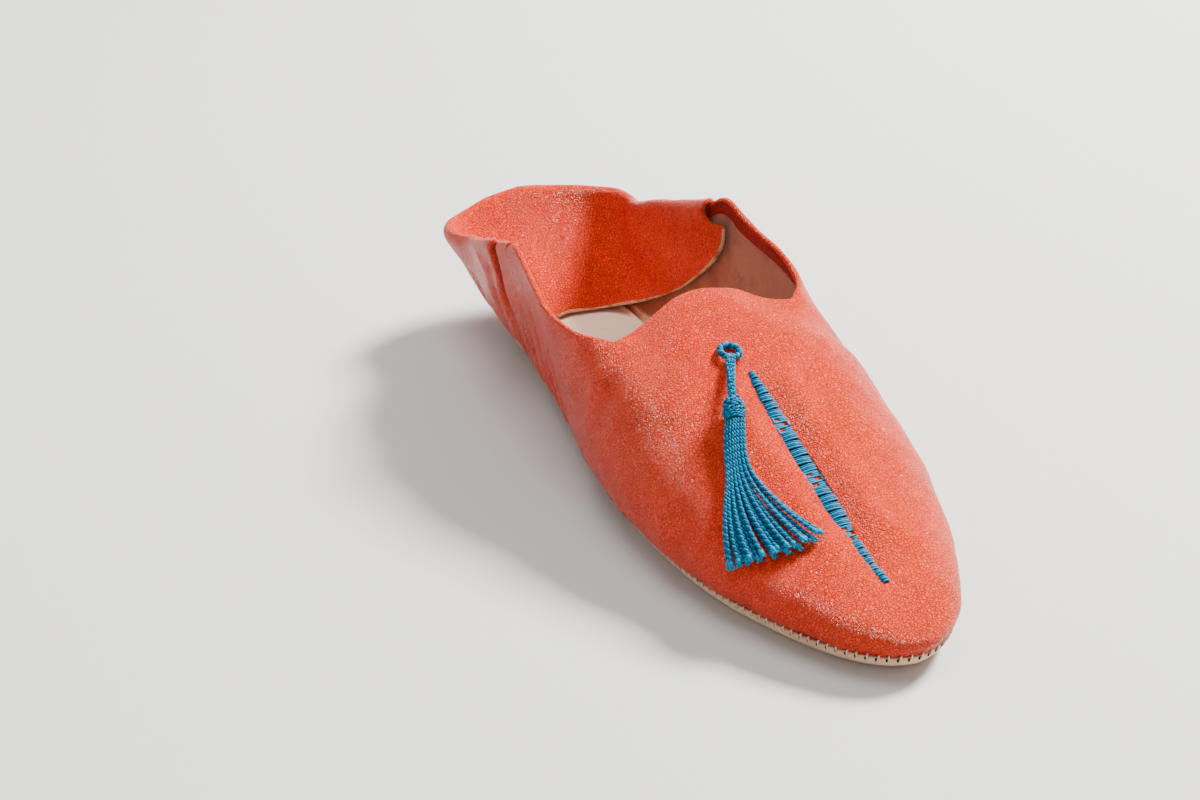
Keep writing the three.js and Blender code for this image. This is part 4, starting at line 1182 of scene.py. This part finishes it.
def build_embroidery():
    made = Bundle()
    along, line = middle_line()
    steps = np.concatenate([[0], np.cumsum(np.linalg.norm(np.diff(line, axis=0), axis=1))])
    start = float(np.interp(EMBROIDERY_TOE * SOLE_LENGTH, along, steps))
    end = float(np.interp(EMBROIDERY_THROAT * SOLE_LENGTH, along, steps))
    forward_line = unit(np.gradient(line, axis=0))

    def spot(distance):
        centre = np.array([np.interp(distance, steps, line[:, k]) for k in range(3)])
        forward = unit(np.array([np.interp(distance, steps, forward_line[:, k]) for k in range(3)]))
        outward = np.cross([1.0, 0.0, 0.0], forward)
        return centre, forward, outward

    def half_width(distance):
        share = (distance - start) / (end - start)
        return EMBROIDERY_WIDTH / 2 * max(math.sin(math.pi * min(max(share, 0.02), 0.98)), 0) ** 0.4

    def thread_at(distance, low, high, tilt, crest, material=0):
        half = half_width(distance)
        left_half = [(-1.02, -0.45), (-0.95, 0.12), (-0.7, 0.62)]
        profile = left_half + [(0, 1.0)] + [(-x, y) for x, y in reversed(left_half)]
        path = []
        for across, lift in profile:
            x = mix(low, high, (across + 1) / 2) * half
            centre, _, outward = spot(distance + tilt * x)
            path.append(centre + np.array([x, 0, 0]) + outward * (0.15 + lift * crest))
        thread_path = resampled(np.array(path), 13)[0]
        made.tube(thread_path, THREAD_RADIUS, sides=7, material=material, start_up=[0, 1, 0])

    blocks = int(round((end - start) / BLOCK_LENGTH))
    length = (end - start) / blocks
    check_blocks = set()
    for share in CHECK_SPOTS:
        at = float(np.interp(share * SOLE_LENGTH, along, steps))
        first = int(round((at - start) / length - 1))
        check_blocks.update((first, first + 1))
    row_length = 2 * length / CHECK_ROWS
    for block in range(blocks):
        low = start + block * length
        shift = 0.07 if block % 2 else -0.07
        tilt = 0.05 if block % 2 else -0.05
        if block in check_blocks and block - 1 not in check_blocks:
            # Small squares of leather, each framed by threads, on alternate sides of the band
            for row in range(CHECK_ROWS):
                row_low = low + row * row_length
                side = 1 if row % 2 else -1
                thread_at(row_low + 0.25, -1.0, 1.0, 0.0, CHECK_CREST)
                for share in (0.42, 0.72):
                    inner, outer = (-1.0, -0.05) if side > 0 else (0.05, 1.0)
                    thread_at(row_low + row_length * share, inner, outer, 0.0, CHECK_CREST)
                frame_path = []
                for spot_at in np.linspace(row_low, row_low + row_length, 5):
                    centre, _, outward = spot(spot_at)
                    frame_path.append(centre + [side * 0.78 * half_width(spot_at), 0, 0] + outward * 0.5)
                made.tube(np.array(frame_path), THREAD_RADIUS, sides=7, start_up=[0, 0, 1])
            thread_at(low + 2 * length - 0.1, -1.0, 1.0, 0.0, CHECK_CREST)
        if block in check_blocks:
            continue
        for k in range(BLOCK_THREADS):
            distance = low + length * (0.08 + 0.84 * (k + 0.5) / BLOCK_THREADS)
            swell = THREAD_CREST * (0.85 + 0.15 * math.sin(math.pi * (k + 0.5) / BLOCK_THREADS))
            # Every other thread takes the darker silk: painted shade between the threads
            thread_at(distance, -1.0 + shift, 1.0 + shift, tilt, swell, 3 if k % 2 else 0)
    # Below the threads a near-black sheet, painted shade in the gaps between them; leather where the checks leave
    # it bare
    stations = np.linspace(start, end, 161)
    left, right = [], []
    for distance in stations:
        centre, _, outward = spot(distance)
        half = half_width(distance) * 0.98
        lift = outward * 0.12
        left.append(centre + lift + [-half, 0, 0])
        right.append(centre + lift + [half, 0, 0])
    points = np.array(left + right)
    count = len(stations)
    faces = []
    kinds = []
    for k in range(count - 1):
        faces.append([k, k + 1, k + 1 + count, k + count])
        block = int((stations[k] + 0.3 - start) / length)
        kinds.append(2 if block in check_blocks else 1)
    for face, kind in zip(faces, kinds):
        made.add(points[face], [[0, 1, 2, 3]], kind)
    kinds_used = [silk_material, silk_gap_shade_material, leather_material, silk_painted_shade_material]
    piece = made.finish("embroidery", kinds_used, "silk_thread")
    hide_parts("embroidery_band")


build_embroidery()


# Tassel

def on_vamp(at, up, lift=0.0):
    """A point above the left side of the vamp, with the leather's outward direction"""
    small = 2e-3

    def point_at(a, u):
        x, along, z = skin(np.array(a), np.array(u))
        return placed(-x, along, z)

    point = point_at(at, up)
    onward = point_at(at + small, up) - point_at(at - small, up)
    upward = point_at(at, min(up + small, 1)) - point_at(at, up - small)
    normal = unit(np.cross(upward, onward))
    return point + lift * normal, normal


def head_line():
    lift = TASSEL_HEAD_RADIUS + 2 * GAP
    top, _ = on_vamp(*TASSEL_HEAD, lift)
    low, normal = on_vamp(*TASSEL_SKIRT, lift)
    forward = unit(low - top)
    return top, top + forward * TASSEL_HEAD_LENGTH, forward, normal


def bezier(start, bend, end, count):
    s = np.linspace(0, 1, count)[:, None]
    return (1 - s) ** 2 * start + 2 * s * (1 - s) * bend + s**2 * end


def build_tassel_cord():
    made = Bundle()
    seat, normal = on_vamp(*TASSEL_LOOP, TASSEL_CORD_RADIUS + 2 * GAP)
    top, _, forward, head_normal = head_line()
    end = top - forward * GAP
    down = unit(end - seat)
    across = unit(np.cross(down, normal))
    level = np.cross(across, down)
    angle = np.linspace(0, 2 * np.pi, 73)
    ring = seat + TASSEL_LOOP_RADIUS * (np.outer(np.cos(angle), down) + np.outer(np.sin(angle), across))
    add_rope(made, ring, TASSEL_CORD_RADIUS, 2, 2.6, level, sides=8, second=1)
    start = seat + down * (TASSEL_LOOP_RADIUS - 0.8)
    bend = end - forward * 0.3 * np.linalg.norm(end - start)
    spine = bezier(start, bend, end, 30)
    # A plait of four plies, each crossing from side to side
    spine, length = resampled(spine, 90)
    _, sideways, outwards = frames_along(spine, head_normal)
    distance = np.linspace(0, length, len(spine))
    width = np.interp(distance, [0, 0.35 * length, length], [1.25, 0.95, 0.85])[:, None]
    for ply in range(4):
        turn = 2 * np.pi * (distance / BRAID_PITCH + ply / 4)[:, None]
        line = spine + width * np.sin(turn) * sideways + 0.5 * np.sin(2 * turn + 0.8) * outwards
        add_rope(made, line, BRAID_RADIUS, 2, 1.9, head_normal, hand=1 if ply % 2 else -1, sides=6, second=1)
    piece = made.finish("tassel_ring_and_braid", [silk_material, silk_painted_shade_material], "silk_thread")
    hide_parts("tassel_cord")


def build_tassel_head():
    made = Bundle()
    top, low, forward, normal = head_line()
    across = unit(np.cross(forward, normal))
    level = np.cross(across, forward)
    profile_at = [0, 0.08, 0.25, 0.5, 0.75, 0.9, 1.0]
    profile = [0.3, 0.55, 0.8, 0.93, 0.97, 0.9, 0.8]

    def radius_at(share):
        return np.interp(share, profile_at, profile) * (TASSEL_HEAD_RADIUS - 0.55)

    core = np.linspace(0, 1, 24)
    # The core under the knot takes the darker silk: painted shade
    made.tube(top + np.outer(core, low - top), radius_at(core) * 0.93, sides=24, material=1, start_up=normal)
    # A Turk's head knot: strands that climb both ways round and pass over and under each other
    strands = 7
    share = np.linspace(0.02, 0.8, 40)
    for hand in (1, -1):
        for k in range(strands):
            turn = hand * share / 0.8 * 1.25 * math.pi + 2 * math.pi * k / strands
            weave = 0.28 * np.sin(share / 0.78 * math.pi * 4 + (0 if hand > 0 else math.pi))
            radius = radius_at(share) + weave
            path = (
                top + np.outer(share, low - top)
                + (radius * np.cos(turn))[:, None] * across + (radius * np.sin(turn))[:, None] * level
            )
            add_rope(made, path, 0.56, 2, 1.8, normal, sides=6, second=1)
    # Turns of thread that bind the foot of the knot
    angle = np.linspace(0, 2 * np.pi, 61)
    for share in (0.84, 0.92, 1.0):
        radius = float(radius_at(share)) + 0.12
        centre = top + (low - top) * (share - 0.02)
        ring = centre + radius * (np.outer(np.cos(angle), across) + np.outer(np.sin(angle), level))
        add_rope(made, ring, 0.46, 2, 1.7, level, sides=6, second=1)
    piece = made.finish("tassel_knot", [silk_material, silk_painted_shade_material], "silk_thread")
    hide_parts("tassel_head")


def build_tassel_skirt():
    made = Bundle()
    _, low, forward, normal = head_line()
    start = low + forward * GAP
    across = unit(np.cross(forward, normal))
    reach = TASSEL_HEAD_RADIUS - STRAND_RADIUS
    steps = 26
    for k in range(FRINGE_STRANDS):
        share = min(max(k / (FRINGE_STRANDS - 1) + 0.012 * math.sin(k * 2.7), 0), 1)
        layer = (k * 2) % FRINGE_LAYERS
        rest = FRINGE_RADIUS + 2 * GAP + layer * 0.8 * FRINGE_RADIUS
        bow = 1 - (2 * share - 1) ** 2
        root = start + across * mix(reach, -reach, share) + normal * (
            (layer - 1.6) * STRAND_RADIUS + 1.5 * bow * (layer > 0) - 1.0 * bow * (layer == 0)
        )
        origin, _ = on_vamp(*TASSEL_SKIRT, rest)
        bend = (float(curve(STRANDS, "bend_at", share)), float(curve(STRANDS, "bend_up", share)))
        stray = 0.003 * math.sin(k * 4.1)
        end = (float(curve(STRANDS, "end_at", share)) + stray, float(curve(STRANDS, "end_up", share)))
        path = []
        for s in np.linspace(0, 1, steps):
            weights = ((1 - s) ** 2, 2 * s * (1 - s), s**2)
            at = sum(w * v for w, v in zip(weights, (TASSEL_SKIRT[0], bend[0], end[0])))
            up = sum(w * v for w, v in zip(weights, (TASSEL_SKIRT[1], bend[1], end[1])))
            lying, _ = on_vamp(at, up, rest)
            path.append(lying + (root - origin) * (1 - float(ease(0, 0.45, s))))
        path = np.array(path)
        taper = FRINGE_RADIUS * np.array([0.62, 0.72, 0.88, 1.0, 1.0])
        add_rope(made, path, taper, 2, 2.2, normal, sides=7, second=1, phase=k * 2.4)
        # The knotted, cut end
        tip = path[-1]
        direction = unit(path[-1] - path[-3])
        knot = np.linspace(-0.9, 0.9, 9)
        bulge = 0.82 * np.sqrt(np.clip(1 - (knot / 1.0) ** 2, 0.05, 1))
        made.tube(tip + np.outer(knot - 0.4, direction), bulge, sides=9, start_up=normal)
        side = unit(np.cross(direction, normal))
        for fibre in range(5):
            spread = (fibre - 2) * 0.28
            lift = 0.18 * math.sin(fibre * 2.1 + k)
            fibre_path = np.array([
                tip + side * spread * 0.5,
                tip + direction * 0.7 + side * spread + normal * lift,
                tip + direction * (1.2 + 0.2 * math.sin(k + fibre)) + side * spread * 1.5 + normal * lift,
            ])
            made.tube(fibre_path, [0.3, 0.24, 0.14], sides=5, start_up=normal)
    piece = made.finish("tassel_fringe", [silk_material, silk_painted_shade_material], "silk_thread")
    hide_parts("tassel_skirt")


build_tassel_cord()
build_tassel_head()
build_tassel_skirt()


# Floor, wall and light

def build_stage():
    """A pale floor that curves up into a wall far behind"""
    profile = [
        (-3.0, 0.0), (1.2, 0.0), (1.6, 0.03), (1.95, 0.14),
        (2.2, 0.36), (2.35, 0.7), (2.4, 1.2), (2.4, 4.0),
    ]
    depth = np.array([p[0] for p in profile])
    height = np.array([p[1] for p in profile]) - 0.00002
    across = np.array([-5.0, 5.0])
    points = [[x, y, z] for x in across for y, z in zip(depth, height)]
    n = len(profile)
    faces = [[k, k + n, k + n + 1, k + 1] for k in range(n - 1)]
    mesh = bpy.data.meshes.new("studio_floor")
    mesh.from_pydata(points, [], faces)
    mesh.polygons.foreach_set("use_smooth", np.full(len(faces), True))
    made = Nodes("studio_floor", Roughness=0.6, Specular_IOR_Level=0.2)
    tint = made.ramp(made.noise(3.0, 3.0), [(0.3, (0.645, 0.635, 0.62, 1)), (0.7, FLOOR_WHITE)])
    mesh.materials.append(made.finish(Base_Color=tint))
    floor = bpy.data.objects.new("studio_floor", mesh)
    floor.rotation_euler = (0, 0, math.radians(-22.3))
    bpy.context.scene.collection.objects.link(floor)


def add_light(name, place, target, size, power, color):
    light = bpy.data.lights.new(name, "AREA")
    light.shape = "RECTANGLE"
    light.size = size[0]
    light.size_y = size[1]
    light.energy = power
    light.color = color
    lamp = bpy.data.objects.new(name, light)
    away = unit(np.array(place, float) - np.array(target, float))
    side = unit(np.cross([0.0, 0.0, 1.0], away))
    upward = np.cross(away, side)
    rotation = np.eye(4)
    rotation[:3, 0] = side
    rotation[:3, 1] = upward
    rotation[:3, 2] = away
    rotation[:3, 3] = place
    lamp.matrix_world = Matrix(rotation.tolist())
    bpy.context.scene.collection.objects.link(lamp)


def build_light():
    add_light("key", (1.3, 0.3, 1.3), (0, 0, 0.02), (0.5, 0.5), 150, (1.0, 0.985, 0.96))
    add_light("fill", (-0.9, -1.3, 0.9), (0, 0, 0.02), (1.4, 1.0), 4.5, (0.97, 0.985, 1.0))
    add_light("top", (-0.1, 0.2, 1.8), (0, 0, 0), (1.0, 1.0), 20, (1.0, 1.0, 1.0))
    world = bpy.data.worlds.new("studio")
    world.use_nodes = True
    world.node_tree.nodes["Background"].inputs["Color"].default_value = (0.93, 0.95, 1.0, 1)
    world.node_tree.nodes["Background"].inputs["Strength"].default_value = 0.4
    bpy.context.scene.world = world


# Camera at the photograph's angle: round from the toe, up from the floor and rolled, in degrees
CAMERA_AZIMUTH = -22.3
CAMERA_ELEVATION = 28.06
CAMERA_ROLL = -3.27
CAMERA_PLACE = (-289.1, -489.2, 389.2)
CAMERA_FOCAL_PIXELS = 2528.6
IMAGE_WIDTH = 1200


def build_camera():
    azimuth = math.radians(CAMERA_AZIMUTH)
    elevation = math.radians(CAMERA_ELEVATION)
    roll = math.radians(CAMERA_ROLL)
    back = np.array([
        math.sin(azimuth) * math.cos(elevation), -math.cos(azimuth) * math.cos(elevation), math.sin(elevation),
    ])
    right = unit(np.cross(-back, [0.0, 0.0, 1.0]))
    upward = np.cross(right, -back)
    rolled_right = right * math.cos(roll) + upward * math.sin(roll)
    rolled_up = -right * math.sin(roll) + upward * math.cos(roll)
    matrix = np.eye(4)
    matrix[:3, 0] = rolled_right
    matrix[:3, 1] = rolled_up
    matrix[:3, 2] = back
    matrix[:3, 3] = np.array([CAMERA_PLACE[0] + MIDDLE_X, CAMERA_PLACE[1] + TOE_Y, CAMERA_PLACE[2]]) * METRES
    data = bpy.data.cameras.new("photo_camera")
    data.sensor_width = 36
    data.lens = CAMERA_FOCAL_PIXELS / IMAGE_WIDTH * data.sensor_width
    data.clip_start = 0.01
    data.clip_end = 30
    camera = bpy.data.objects.new("photo_camera", data)
    camera.matrix_world = Matrix(matrix.tolist())
    bpy.context.scene.collection.objects.link(camera)
    bpy.context.scene.camera = camera


build_stage()
build_light()
build_camera()

bpy.context.view_layer.update()
